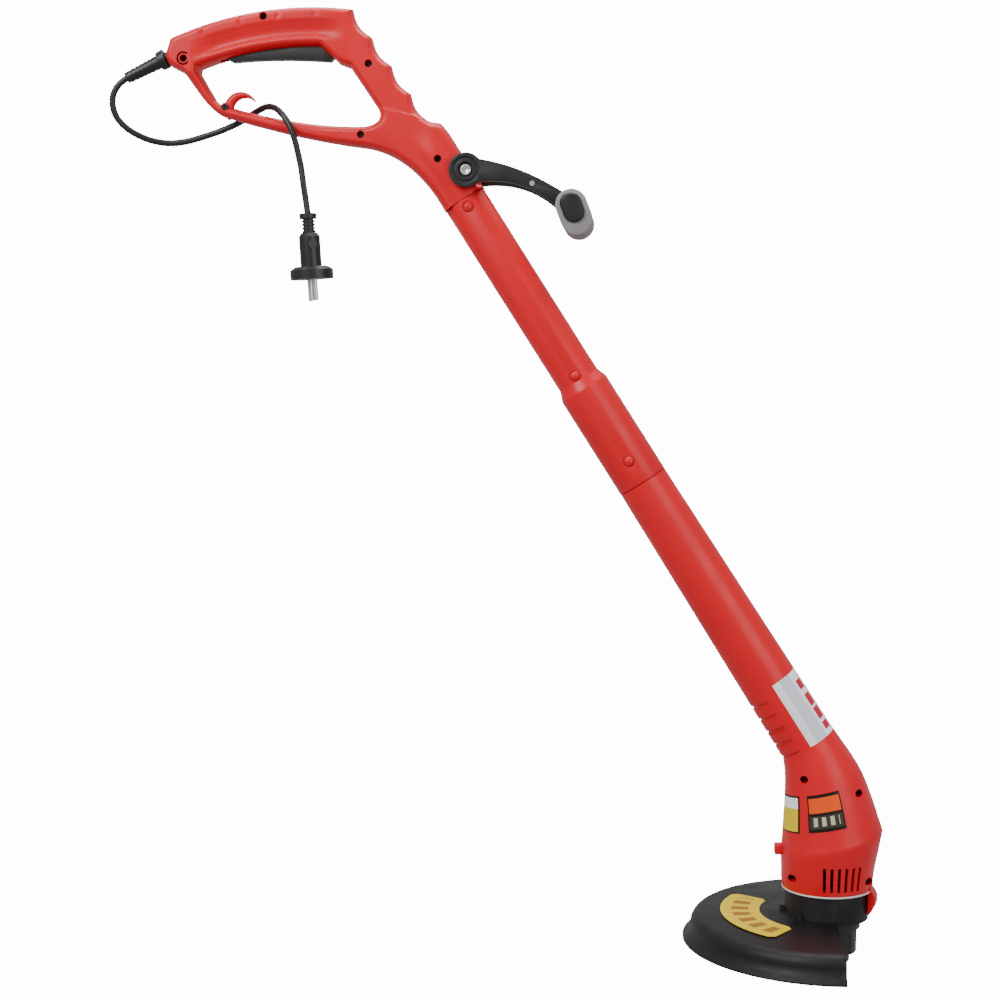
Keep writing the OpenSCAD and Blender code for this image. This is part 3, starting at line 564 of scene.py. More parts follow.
def softened(node: str, name: str, edge_mm: float, limit: float = 40.0, segments: int = 2) -> bpy.types.Object:
    """Copies a CAD node, merges its loose triangles and rounds its edges.

    Args:
        node: CAD node to copy.
        name: name of the new piece.
        edge_mm: radius given to the edges.
        limit: edges sharper than this many degrees are rounded.
        segments: faces across each rounding.

    Returns:
        The new object, not yet dressed.
    """
    bm = bmesh.new()
    bm.from_mesh(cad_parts[node].data)
    bmesh.ops.remove_doubles(bm, verts=bm.verts, dist=2e-6)
    bmesh.ops.dissolve_limit(bm, angle_limit=math.radians(0.6), verts=bm.verts, edges=bm.edges)
    obj = make_object(bm, name)
    soft = obj.modifiers.new("edges", "BEVEL")
    soft.width, soft.segments, soft.limit_method = edge_mm * MM, segments, "ANGLE"
    soft.angle_limit = math.radians(limit)
    soft.use_clamp_overlap = True
    return settle(obj)


def rounded(node: str, name: str, edge_mm: float, finish: Moulded | Metal, body: str,
            limit: float = 40.0, segments: int = 2) -> bpy.types.Object:
    """Copies a CAD node, rounds its edges and dresses the copy in its place."""
    return dress(softened(node, name, edge_mm, limit, segments), finish, body, (node,))


def screw_well(r: float, outer_r: float, top: float, floor: float, place: Matrix) -> bmesh.types.BMesh:
    """Makes the blind well that a casing screw sits in.

    Args:
        r: radius of its bore.
        outer_r: outer radius of its wall.
        top: where its mouth lies, from the parting plane.
        floor: where its floor ends, from the parting plane.
        place: placing matrix in millimetres, with Z inwards.

    Returns:
        The new bmesh, in metres.
    """
    seat = floor + 6
    return turned([(r, -top), (outer_r, -top), (outer_r, -floor), (0, -floor), (0, -seat), (r, -seat), (r, -top)],
                  place, steps=32)


def close_half(shell: bpy.types.Object, cutters: list[bmesh.types.BMesh], inside: list[bmesh.types.BMesh],
               family: str, side: Side) -> bpy.types.Object:
    """Cuts a shell's half, joins what is moulded inside it and dresses it.

    Args:
        shell: the half's wall, which is used up.
        cutters: closed bmeshes that are cut away.
        inside: closed bmeshes that are joined to it.
        family: "handle" or "head".
        side: which half.

    Returns:
        The finished half.
    """
    carve(shell, *cutters)
    whole = bmesh.new()
    whole.from_mesh(shell.data)
    half = side.name.lower()
    piece = make_object(merged(whole, *inside), f"{family}_half_{half}")
    bpy.data.objects.remove(shell)
    return dress(piece, RED_ABS, "root", (f"{family}_shell_{half}",))


def paint_nodes(finish: Moulded | Metal, *nodes: str) -> None:
    """Gives CAD nodes that are shown as they are their finish.

    Args:
        finish: the finish.
        nodes: names of the nodes.
    """
    for node in nodes:
        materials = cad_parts[node].data.materials
        materials.clear()
        materials.append(paint(finish))


# ---- the places that the pieces share ----

# how far the shaft leans from upright, its axis at the handle's seam, and its length to the bend
LEAN = math.radians(32.5)
NECK = np.array([154.4, -149.9])
SHAFT_LEN = 606.0
UP_SHAFT = np.array([-math.sin(LEAN), math.cos(LEAN)])
ACROSS = np.array([math.cos(LEAN), math.sin(LEAN)])
# the spindle stands below the bend, with the guard's rim this far under it
BEND_ABOVE_RIM = 150
SPINDLE_X = float(NECK[0] + SHAFT_LEN * math.sin(LEAN))
RIM_Z = float(NECK[1] - SHAFT_LEN * math.cos(LEAN) - BEND_ABOVE_RIM)
# where the housing's neck meets the tube, down from the handle's seam
HEAD_SEAM = SHAFT_LEN - 312


def shaft_point(down: float, off: float = 0.0) -> np.ndarray:
    """Point beside the shaft's axis in X-Z, down from the handle's seam."""
    return NECK - UP_SHAFT * down + ACROSS * off


def shaft_frame(down: float) -> Matrix:
    """Placing matrix on the shaft's axis, with Z up the shaft."""
    p = shaft_point(down)
    return Matrix.Translation((p[0], 0, p[1])) @ Matrix.Rotation(-LEAN, 4, "Y")


def head_frame(x: float = 0.0, z: float = 0.0, turn: float = 0.0) -> Matrix:
    """Placing matrix on the spindle's axis, z above the guard's rim, turned about it."""
    return Matrix.Translation((SPINDLE_X + x, 0, RIM_Z + z)) @ Matrix.Rotation(math.radians(turn), 4, "Z")


def from_right(x: float, z: float, y: float) -> Matrix:
    """Placing matrix at a point on the right side, with Z running towards +Y."""
    return Matrix.Translation((x, y, z)) @ Matrix.Rotation(math.radians(-90), 4, "X")


# ---- camera and light ----


@dataclass
class Studio:
    """Camera, white backdrop and soft boxes."""

    eye: tuple[float, float, float] = (300.6, -1690.1, -273.2)
    target: tuple[float, float, float] = (185.4, 0.0, -415.5)
    lens: float = 68.4
    ambient: float = 0.55
    backdrop: float = 14.0
    lit: tuple[float, float, float] = (250.0, 0.0, -400.0)
    # name, place, power in watts and side in metres of each soft box
    boxes: tuple[tuple[str, tuple[float, float, float], float, float], ...] = (
        ("key", (-900, -1500, 900), 40, 1.2), ("fill", (1500, -1300, 100), 12, 1.2),
        ("top", (250, 300, 1300), 34, 1.6))

    @staticmethod
    def aim(obj: bpy.types.Object, eye: tuple[float, float, float], target: tuple[float, float, float]) -> None:
        """Links an object, places it and turns it to look at a point.

        Args:
            obj: camera or light.
            eye: where it stands, in millimetres.
            target: what it looks at.
        """
        bpy.context.scene.collection.objects.link(obj)
        obj.location = Vector(eye) * MM
        obj.rotation_euler = (Vector(target) - Vector(eye)).to_track_quat("-Z", "Y").to_euler()

    def build_camera(self) -> None:
        """Places the camera and makes it the scene's."""
        data = bpy.data.cameras.new("camera")
        data.lens, data.sensor_width = self.lens, 36.0
        camera = bpy.data.objects.new("camera", data)
        self.aim(camera, self.eye, self.target)
        bpy.context.scene.camera = camera

    def build_light(self) -> None:
        """Lights the scene: a white backdrop, dim surroundings and three soft boxes."""
        world = bpy.data.worlds.new("surroundings")
        world.use_nodes = True
        tree = world.node_tree
        tree.nodes["Background"].inputs["Color"].default_value = (1, 1, 1, 1)
        seen = add_node(tree, "ShaderNodeLightPath").outputs["Is Camera Ray"]
        bright = add_node(tree, "ShaderNodeMapRange", {"To Min": self.ambient, "To Max": self.backdrop},
                          {"Value": seen})
        tree.links.new(bright.outputs["Result"], tree.nodes["Background"].inputs["Strength"])
        bpy.context.scene.world = world
        for name, place, power, size in self.boxes:
            data = bpy.data.lights.new(name, "AREA")
            data.energy, data.size = power, size
            self.aim(bpy.data.objects.new(name, data), place, self.lit)

    def build(self) -> None:
        """Builds camera and light."""
        self.build_camera()
        self.build_light()
        LOG.info("studio ready")


# ---- cord ----


@dataclass
class MainsCord:
    """Short mains flex with its ribbed sleeve and round two-pin plug."""

    diameter: float = 5.8
    relief_at: tuple[float, float] = (-104.0, -20.0)
    relief_dip: float = 25.5
    relief_len: float = 48.0
    rib_count: int = 7
    rib_from: float = 18.0
    rib_pitch: float = 4.1
    bends: tuple[tuple[float, float, float], ...] = (
        (-154, 0, -45.5), (-159, 0, -52.5), (-161, 0.5, -60.5), (-160, 1, -69), (-156.5, 2, -76.5), (-150, 3, -83.5),
        (-141, 5, -89.5), (-129, 8, -94.5), (-114, 11, -97), (-98, 13, -95.5), (-82, 15, -91), (-66, 16.3, -85.5),
        (-52, 16.3, -79.5), (-41, 15, -73.5), (-31, 10.5, -68.6), (-22, 3.2, -66.4), (-13, -5, -68.8), (-5, -12, -76),
        (1, -15, -85), (5, -16, -95), (8, -16, -107), (11, -16, -121), (13, -17, -135), (15, -17, -149),
        (17, -18, -162))

    def sleeve_point(self, s: float) -> tuple[float, float, float]:
        """Point on the sleeve's axis, s from its shoulder."""
        a = math.radians(self.relief_dip)
        return self.relief_at[0] - s * math.cos(a), 0.0, self.relief_at[1] - s * math.sin(a)

    def route(self) -> list[tuple[float, float, float]]:
        """Points that the flex runs through, from inside the sleeve to the plug."""
        return [self.sleeve_point(self.relief_len - 7), self.sleeve_point(self.relief_len), *self.bends]

    def smooth_path(self, per_step: int = 4) -> list[Vector]:
        """Points of the smooth curve through the route.

        Args:
            per_step: points between two route points.

        Returns:
            The curve's points in millimetres.
        """
        p = [Vector(q) for q in self.route()]
        path = []
        for i in range(len(p) - 1):
            a, b, c, d = p[max(i - 1, 0)], p[i], p[i + 1], p[min(i + 2, len(p) - 1)]
            for k in range(per_step):
                f = k / per_step
                path.append(0.5 * (2 * b + (c - a) * f + (2 * a - 5 * b + 4 * c - d) * f * f
                                   + (3 * b - a - 3 * c + d) * f ** 3))
        return path + [p[-1]]

    def build_flex(self) -> bpy.types.Object:
        path = [q * MM for q in self.smooth_path()]
        data = bpy.data.curves.new("mains_flex", "CURVE")
        data.dimensions = "3D"
        data.bevel_depth, data.bevel_resolution, data.use_fill_caps = self.diameter / 2 * MM, 6, True
        line = data.splines.new("POLY")
        line.points.add(len(path) - 1)
        for point, place in zip(line.points, path):
            point.co = (*place, 1)
        line.use_smooth = True
        flex = bpy.data.objects.new("mains_flex", data)
        bpy.context.scene.collection.objects.link(flex)
        data.materials.append(paint(FLEX_PVC))
        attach(flex, "root")
        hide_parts("mains_cord")
        return flex

    def build_sleeve(self) -> bpy.types.Object:
        """Builds the tapered sleeve with its shoulder and shallow ribs."""
        place = (Matrix.Translation(self.sleeve_point(0))
                 @ Matrix.Rotation(math.radians(-90 - self.relief_dip), 4, "Y"))
        bore = self.diameter / 2 + 0.05
        profile = [(bore, -10), (5, -10), (5, 8.2), (8.4, 8.2), (9, 8.8), (8.4, 14.9), (7.9, 15.5), (6, 15.6)]
        for i in range(self.rib_count):
            s, r = self.rib_from + i * self.rib_pitch, 6.1 - i * 0.13
            profile += [(r, s), (r, s + 2.6), (r - 0.5, s + 2.9), (r - 0.5, s + 3.8)]
        end = self.relief_len
        profile += [(5.1, end - 0.6), (4.7, end), (bore, end), (bore, -10)]
        sleeve = make_object(turned(profile, place, steps=48), "cord_sleeve")
        return dress(sleeve, FLEX_PVC, "root", ("strain_relief",))

    def build(self) -> None:
        """Builds flex and sleeve, and dresses the plug."""
        self.build_flex()
        self.build_sleeve()
        paint_nodes(FLEX_PVC, "plug_body")
        paint_nodes(ZINC_STEEL, "plug_pins")


# ---- rear handle ----


@dataclass
class RearHandle:
    """D-shaped rear handle: two shells, trigger, cord hook and screws."""

    grip_centre: tuple[float, float] = (18.0, -291.0)
    grip_r: float = 310.0
    grip_depth: float = 35.0
    half_w: float = 17.0
    waist_half: float = 14.0
    arm_half: float = 11.0
    body_r: float = 20.0
    wall: float = 2.2
    part_line: float = 0.15
    back_hollow: float = 1.8
    # corners of the outline where the skin's lines bow inwards, with the reach and how far
    sag_at: tuple[tuple[tuple[float, float], float, tuple[float, float]], ...] = (
        ((136.0, -85.6), 22.0, (0.0, -8.0)), ((137.0, -160.0), 24.0, (3.3, 2.2)))
    back_top: tuple[float, float] = (56.0, 16.7)
    back_low: tuple[float, float] = (124.0, -81.5)
    knuckle: tuple[float, float] = (-98.0, -22.0)
    knuckle_r: float = 12.5
    scallop: float = 4.0
    scallops: int = 4
    groove_x: tuple[float, ...] = (-77.0, -44.0, -10.0, 23.0)
    columns: int = 37
    trigger_slot: tuple[float, float, float] = (106.0, 12.6, 36.5)
    trigger_slot_at: tuple[float, float, float] = (-9.0, 0.0, -26.8)
    bolt_hole_r: float = 4.8
    bolt_down: float = 8.0
    screw_r: float = 3.3
    screw_spots: tuple[tuple[float, float], ...] = (
        (-21.2, 9.5), (-92.6, -26.0), (-57.6, -67.8), (71.0, -31.8), (63.6, -93.0), (132.0, -115.0))
    # the hook is a ring with an off-centre round gap, and its tip is rounded by these shares
    hook_at: tuple[float, float] = (-45.0, -68.5)
    hook_r: float = 15.0
    hook_gap_at: tuple[float, float] = (-40.5, -70.0)
    hook_gap_r: float = 10.8
    hook_half_w: float = 5.0
    hook_tip: tuple[float, ...] = (0.86, 0.6, 0.02)

    def back_edge(self, t0: float, t1: float) -> np.ndarray:
        """Stretch of the back edge with its finger scallops.

        Args:
            t0: where the stretch starts, 0 at the top.
            t1: where it ends, 1 at the foot.

        Returns:
            Points in X-Z.
        """
        top, low = np.array(self.back_top), np.array(self.back_low)
        d = unit(low - top)
        out = np.array([-d[1], d[0]])
        t = np.linspace(t0, t1, 60)[:, None]
        return top + (low - top) * t - out * self.scallop * np.abs(np.sin(np.pi * self.scallops * t))

    def beside_body(self, line: np.ndarray, side: int) -> np.ndarray:
        """Keeps a line on or outside the round body near the seam.

        Args:
            line: outline in X-Z.
            side: sign of the offset across the shaft.

        Returns:
            The line with the points inside the body moved out to it.
        """
        rel = line - NECK
        off, up = rel @ ACROSS, rel @ UP_SHAFT
        near = ease(-up, -66, -54)
        wide = np.where(side * off < self.body_r, self.body_r, side * off)
        moved = (1 - near) * off + near * side * wide
        return NECK + moved[:, None] * ACROSS + up[:, None] * UP_SHAFT

    def sag(self, outer: np.ndarray) -> np.ndarray:
        """How far the skin's line from each outer point bows inwards.

        Args:
            outer: points of the outline in X-Z.

        Returns:
            Offset of each line's middle in X-Z.
        """
        bow = np.zeros_like(outer)
        for corner, spread, pull in self.sag_at:
            near = np.exp(-np.sum((outer - np.array(corner)) ** 2, axis=1) / spread**2)
            bow += near[:, None] * np.array(pull)
        return bow

    def stations(self) -> tuple[np.ndarray, np.ndarray, np.ndarray, np.ndarray]:
        """Pairs points on the outer outline with points on the hand gap's.

        Returns:
            Outer points, inner points, half thickness and rounding radius at each station.
        """
        c, r, inner_r = self.grip_centre, self.grip_r, self.grip_r - self.grip_depth
        wide, waist, arm = self.half_w, self.waist_half, self.arm_half
        seam_hi, seam_lo = (NECK + ACROSS * r0 + UP_SHAFT * 0.2 for r0 in (self.body_r, -self.body_r))
        corner = ((78, -70), (84, -82), (66, -85))
        arm_top = ((66, -85), (10, -86), (-62, -65))
        strut = ((-66, -62), (-73, -50), (-80.5, -37.5))
        lip = np.array([[27.6, -16.2], [35, -23], [44, -31], [54, -34.5]])
        underarm = bezier(tuple(seam_lo), (107.5, -109), (64, -104))
        knuckle = np.concatenate([arc(self.knuckle, self.knuckle_r, 245.6, 160, 16), [[-106.1, -6.9]]])
        marks = np.concatenate([[(x + 106.1) / 162.1 + k / 162 for k in (-1.3, -0.7, 0, 0.7, 1.3)]
                                for x in self.groove_x])
        grip_t = np.unique(np.round(np.concatenate([np.linspace(0, 1, 61), marks]), 4))
        plain = {n: np.linspace(0, 1, n) for n in (12, 14, 16, 18, 40)}
        # outer line, line of the hand gap, shares along both, half widths and roundings at their ends
        table = [
            (arc(c, r, 113.6, 83, 80), arc(c, inner_r, 110.8, 88, 80), grip_t, (wide, wide), (6, 6)),
            (self.back_edge(0, 0.3), lip, plain[16], (wide, wide), (6, 6)),
            (self.back_edge(0.3, 1), np.array([[54, -34.5], [74, -64]]), plain[40], (wide, wide), (6, 6)),
            (self.beside_body(along(np.array([[124, -81.5], [134, -82.7], seam_hi]), plain[40]), 1),
             np.array([[74, -64], [77, -68.6]]), plain[18], (wide, wide), (6, 7)),
            (np.array([seam_hi, seam_lo]), np.concatenate([[[77, -68.6]], bezier(*corner, 0, 0.15)]),
             plain[14], (wide, wide), (7, 7)),
            (self.beside_body(underarm, -1),
             np.concatenate([bezier(*corner, 0.15, 1), bezier(*arm_top, 0.02, 0.12)]),
             plain[40], (wide, waist), (7, 6)),
            (bezier((64, -104), (10, -97), (-56, -77)), bezier(*arm_top, 0.12, 1), plain[40], (waist, arm), (6, 5)),
            (bezier((-56, -77), (-67, -75), (-81, -56.5)),
             np.concatenate([[[-62, -65]], bezier(*strut, 0, 0.35)]), plain[12], (arm, arm), (5, 5)),
            (np.array([[-81, -56.5], [-94, -38], [-103.2, -33.4]]), bezier(*strut, 0.35, 1), plain[12],
             (arm, wide), (5, 5)),
            (knuckle, np.array([[-80.5, -37.5], [-79.7, -33.9]]), plain[16], (wide, wide), (5, 6)),
        ]
        outer, inner, width, round_r = [], [], [], []
        for line_out, line_in, shares, w, rr in table:
            keep = shares[:-1]
            outer.append(along(line_out, keep))
            inner.append(along(line_in, keep))
            width.append(w[0] + (w[1] - w[0]) * ease(keep, 0, 1 if w[0] != waist else 0.3))
            round_r.append(rr[0] + (rr[1] - rr[0]) * keep)
        return tuple(np.concatenate(v) for v in (outer, inner, width, round_r))

    def grip_relief(self, p: np.ndarray) -> np.ndarray:
        """How far the grip's flank is hollowed at each point, with its finger grooves.

        Args:
            p: points in X-Z.

        Returns:
            Depth at each point, in millimetres.
        """
        v = self.grip_r - np.linalg.norm(p - np.array(self.grip_centre), axis=1)
        x = p[:, 0]
        above_ledge = p[:, 1] + 70 + (x - 78) * 0.227
        back = self.back_hollow * ease(x, 30, 56) * ease(above_ledge, 0, 1.6)
        hollow = 1.6 * ease(v, 12.6, 13.6) + 2.6 * ease(v, 13.6, 21.5) - 3.0 * ease(v, 23.5, 29.5)
        fade = ease(x, -88, -62) * (1 - ease(x, 26, 52))
        groove = sum(np.exp(-((x - gx - 0.12 * v) / 0.9) ** 2) for gx in self.groove_x)
        return back + hollow * fade + 1.1 * groove * (1 - ease(v, 12, 13.6)) * ease(v, 0.5, 3)

    def skin(self, side: Side) -> bmesh.types.BMesh:
        """Lays one half's outer skin from its outline to the hand gap.

        Args:
            side: which half.

        Returns:
            The skin as a bmesh.
        """
        outer, inner, width, round_r = self.stations()
        share = (1 - np.cos(np.pi * np.linspace(0, 1, self.columns))) / 2
        t = share[None, :, None]
        p = outer[:, None] * (1 - t) + inner[:, None] * t + 2 * t * (1 - t) * self.sag(outer)[:, None]
        m, n = p.shape[:2]
        flat = p.reshape(-1, 2)
        w, rr = np.repeat(width, n), np.repeat(round_r, n)
        rel = flat - NECK
        off, up = rel @ ACROSS, rel @ UP_SHAFT
        rel_out = outer - NECK
        seam = (np.abs(rel_out @ UP_SHAFT - 0.2) < 0.5) & (np.abs(rel_out @ ACROSS) <= self.body_r + 0.01)
        rim = np.where(seam[:, None], np.nan, outer)
        rim = np.concatenate([rim, rim[:1]])
        gap_line = np.concatenate([inner, inner[:1]])
        d_out, d_in = distance(flat, rim), distance(flat, gap_line)
        h = (w - self.grip_relief(flat)) * rounding(d_out, rr) * rounding(d_in, rr)
        near_seam = ease(-up, -74, -40)
        tube = np.sqrt(np.maximum(0, self.body_r ** 2 - off ** 2))
        h = h + (np.maximum(h, tube) - h) * near_seam
        h = np.where(np.repeat(seam, n) & (np.tile(np.arange(n), m) == 0), tube, h)
        y = side.value * np.maximum(h, self.part_line)
        rows = np.stack([flat[:, 0], y, flat[:, 1]], 1).reshape(m, n, 3)
        rows = np.concatenate([rows, rows[:1]])
        bm = laid_grid(rows)
        self.face_out(bm)
        return bm

    @staticmethod
    def face_out(bm: bmesh.types.BMesh) -> None:
        """Turns an open skin's faces away from the parting plane.

        Args:
            bm: the skin.
        """
        bmesh.ops.recalc_face_normals(bm, faces=bm.faces)
        lean = sum(f.normal.y * f.calc_area() * (1 if f.calc_center_median().y > 0 else -1) for f in bm.faces)
        if lean < 0:
            bmesh.ops.reverse_faces(bm, faces=bm.faces)

    def surface_y(self, bm: bmesh.types.BMesh, x: float, z: float) -> float:
        """Half thickness of a skin beside a point, in millimetres."""
        near = min(bm.verts, key=lambda v: (v.co.x / MM - x) ** 2 + (v.co.z / MM - z) ** 2)
        return abs(near.co.y) / MM

    def build_half(self, side: Side) -> bpy.types.Object:
        """Builds one shell with its screw wells and its share of the trigger's slot.

        Args:
            side: which half.

        Returns:
            The finished half.
        """
        bm = self.skin(side)
        heights = [self.surface_y(bm, x, z) for x, z in self.screw_spots]
        shell = thicken(make_object(bm, f"handle_skin_{side.name.lower()}"), self.wall)
        cutters = [block(self.trigger_slot, Matrix.Translation(self.trigger_slot_at), 0)]
        wells = []
        if side is Side.RIGHT:
            cutters += [rod(self.screw_r, from_right(x, z, -40), 33) for x, z in self.screw_spots]
            across = Matrix.Rotation(math.radians(90), 4, "X")
            cutters.append(rod(self.bolt_hole_r, shaft_frame(self.bolt_down) @ across, 40))
            wells = [screw_well(self.screw_r, 4.4, h - 0.5, 1, from_right(x, z, 0))
                     for (x, z), h in zip(self.screw_spots, heights)]
            raised_ring = [(4.3, -16.4), (4.5, -17), (5.9, -17), (6.3, -16.4), (6.4, -15.6)]
            wells.append(turned(raised_ring, from_right(*self.screw_spots[1], 0)))
        return close_half(shell, cutters, wells, "handle", side)

    def build_hook(self) -> bpy.types.Object:
        """Builds the cord hook as a tapered crescent on the lower arm."""
        turns = np.radians(np.concatenate([np.linspace(222, 30, 40), [26, 23, 21]]))
        shares = [1.0] * 40 + list(self.hook_tip)
        centre = np.array(self.hook_at)
        rel = np.array(self.hook_gap_at) - centre
        ring = np.radians(np.linspace(0, 360, 25))
        rows = []
        for a, tip in zip(turns, shares):
            d = np.array([math.cos(a), math.sin(a)])
            out = centre + self.hook_r * d
            reach = rel @ d + math.sqrt(max(0, (rel @ d) ** 2 - rel @ rel + self.hook_gap_r ** 2))
            core = centre + min(reach, self.hook_r - 1) * d
            mid, half = (out + core) / 2, (out - core) / 2
            flat = [mid + half * tip * math.cos(b) for b in ring]
            rows.append([(p[0], self.hook_half_w * tip * math.sin(b), p[1]) for p, b in zip(flat, ring)])
        bm = laid_grid(np.array(rows))
        bmesh.ops.holes_fill(bm, edges=[e for e in bm.edges if e.is_boundary], sides=0)
        bmesh.ops.recalc_face_normals(bm, faces=bm.faces)
        return dress(make_object(bm, "cord_hook"), RED_ABS, "root")

    def build(self) -> None:
        """Builds both shells, the hook and the trigger, and dresses what is inside."""
        for side in Side:
            self.build_half(side)
        self.build_hook()
        rounded("trigger", "trigger_lever", 1.2, BLACK_NYLON, "trigger", segments=3)
        paint_nodes(BLACK_NYLON, "switch_body", "cord_clamp")
        paint_nodes(FLEX_PVC, "inlet_lead", "motor_lead")
        # the casing screws are painted dark as painted shade down their wells
        paint_nodes(WELL_SHADE_STEEL, "handle_screws")
        paint_nodes(ZINC_STEEL, "trigger_pin", "trigger_spring")
        paint_nodes(GREY_ACETAL, "switch_plunger")


# ---- front handle ----


@dataclass
class FrontHandle:
    """Tilting front handle: two arms on a bolt and a short grey cross grip."""

    edge: float = 1.6

    def build(self) -> None:
        """Builds the arms with rounded edges and dresses the rest."""
        for side in ("right", "left"):
            rounded(f"bail_arm_{side}", f"front_arm_{side}", self.edge, BLACK_NYLON, "front_handle",
                    50, 3)
        rounded("bail_core", "front_bar", 0.5, BLACK_NYLON, "front_handle")
        rounded("bail_grip", "front_grip", 0.6, GREY_TPR, "front_handle")
        rounded("bail_bolt", "front_bolt", 0.3, ZINC_STEEL, "root")
        paint_nodes(ZINC_STEEL, "bail_nut", "bail_screws")


# ---- shaft ----


@dataclass
class Shaft:
    """Red middle tube with its socket and three snap buttons."""

    def build(self) -> None:
        """Rounds the tube's edges and dresses the buttons."""
        rounded("middle_tube", "shaft_tube", 0.5, RED_ABS, "root", 20)
        for name in ("top", "mid", "low"):
            rounded(f"snap_button_{name}", f"button_{name}", 0.3, RED_ABS, f"button_{name}")
        paint_nodes(ZINC_STEEL, "button_springs")


# ---- motor head ----


@dataclass
class MotorHead:
    """Motor housing in two shells, with vents, neck grooves, front lug and labels.

    The skin runs through rings. Each ring is given by its rear and front points above the rim,
    as (x, z) from the spindle, and by its half width.
    """

    wall: float = 2.3
    part_line: float = 0.15
    cone_top_r: float = 22.8
    cone_low_r: float = 26.2
    cone_end: float = 569.0
    groove_depth: float = 1.5
    groove_half: float = 1.7
    groove_first: float = 36.0
    groove_pitch: float = 13.0
    groove_count: int = 5
    screw_r: float = 3.3
    vent_count: int = 6
    vent_step: float = 9.0
    vent_z: float = 65.0
    vent_size: tuple[float, float, float] = (20.0, 2.6, 22.0)
    rings: tuple[tuple[float, float, float, float, float], ...] = (
        (-40.3, 163.0, 12.0, 181.5, 29.0), (-39.0, 155.0, 19.5, 171.0, 31.6), (-38.6, 146.0, 25.8, 161.0, 33.6),
        (-38.6, 135.0, 30.6, 152.0, 35.6), (-38.9, 124.0, 35.2, 141.0, 37.6), (-39.6, 112.0, 40.0, 128.0, 39.6),
        (-40.2, 100.0, 44.0, 116.0, 41.4), (-40.8, 90.0, 47.0, 107.0, 43.2), (-41.1, 85.2, 48.1, 103.4, 44.0),
        (-41.6, 83.6, 48.5, 101.8, 44.5), (-41.6, 80.0, 47.6, 97.0, 44.2), (-41.3, 72.0, 45.2, 84.0, 42.8),
        (-41.1, 64.0, 42.6, 71.0, 41.4), (-41.0, 57.0, 40.8, 59.0, 40.6), (-40.4, 52.0, 40.0, 52.4, 40.0),
        (-40.0, 50.2, 39.6, 50.2, 39.8))
    screw_spots: tuple[tuple[float, float], ...] = ((-24.0, 152.0), (24.0, 140.0), (-33.0, 62.0), (34.0, 60.0))

    def groove_downs(self) -> list[float]:
        """Where the neck's grooves lie, down from the handle's seam."""
        return [SHAFT_LEN - self.groove_first - self.groove_pitch * i for i in range(self.groove_count)]

    def skin_table(self) -> np.ndarray:
        """All rings from the seam to the base, as rear x, z, front x, z and half width."""
        rows = []
        downs = list(np.linspace(HEAD_SEAM + 0.3, self.cone_end, 60))
        for d in self.groove_downs():
            downs += [d - 2.1, d - 1.5, d + 1.5, d + 2.1]
        for d in sorted(x for x in downs if x <= self.cone_end):
            share = (d - HEAD_SEAM) / (self.cone_end - HEAD_SEAM)
            r = self.cone_top_r + (self.cone_low_r - self.cone_top_r) * share
            a, b = shaft_point(d, -r), shaft_point(d, r)
            rows.append((a[0] - SPINDLE_X, a[1] - RIM_Z, b[0] - SPINDLE_X, b[1] - RIM_Z, r))
        return np.array(rows + list(self.rings))

    def skin_points(self, around: np.ndarray, lift: float = 0.0) -> np.ndarray:
        """Points of the skin.

        Args:
            around: angles round each ring in degrees, 0 at the front and 90 on the left.
            lift: how far above the skin, in millimetres.

        Returns:
            Array of (ring, angle, xyz).
        """
        t = self.skin_table()
        rear = np.stack([t[:, 0], t[:, 1]], 1) + np.array([SPINDLE_X, RIM_Z])
        front = np.stack([t[:, 2], t[:, 3]], 1) + np.array([SPINDLE_X, RIM_Z])
        mid, half, wide = (rear + front) / 2, (front - rear) / 2, t[:, 4]
        a = np.radians(around)
        grow = 1 + lift / wide[:, None]
        down = -(mid - NECK) @ UP_SHAFT
        cut = np.zeros(len(t))
        for g in self.groove_downs():
            cut[np.abs(down - g) < self.groove_half] = 1
        # the grooves run round the rear of the neck only
        lower = ease(-np.cos(a), 0.36, 0.44)
        grow = grow - (cut * self.groove_depth / wide)[:, None] * lower[None, :]
        xz = mid[:, None] + half[:, None] * (np.cos(a)[None, :] * grow)[..., None]
        y = wide[:, None] * np.sin(a)[None, :] * grow
        return np.stack([xz[..., 0], y, xz[..., 1]], 2)

    def build_half(self, side: Side) -> bpy.types.Object:
        """Builds one shell with its vents, screw wells and holes.

        Args:
            side: which half.

        Returns:
            The finished half.
        """
        around = np.linspace(0, 180, 61) * side.value
        pts = self.skin_points(around)
        pts[..., 1] = side.value * np.maximum(side.value * pts[..., 1], self.part_line)
        bm = laid_grid(pts)
        RearHandle.face_out(bm)
        shell = thicken(make_object(bm, f"head_skin_{side.name.lower()}"), self.wall)
        out_to_skin = Matrix.Translation((42, 0, 0))
        cutters = [block(self.vent_size, head_frame(0, self.vent_z, side.value * (90 - (i - 1) * self.vent_step))
                         @ out_to_skin, 0.6) for i in range(self.vent_count)]
        inside = []
        if side is Side.RIGHT:
            spots = [(SPINDLE_X + x, RIM_Z + z) for x, z in self.screw_spots]
            cutters += [rod(self.screw_r, from_right(x, z, -60), 47.8) for x, z in spots]
            inside = [screw_well(self.screw_r, 4.3, 20.5, 6, from_right(x, z, 0)) for x, z in spots]
        return close_half(shell, cutters, [*inside, self.lug(side)], "head", side)

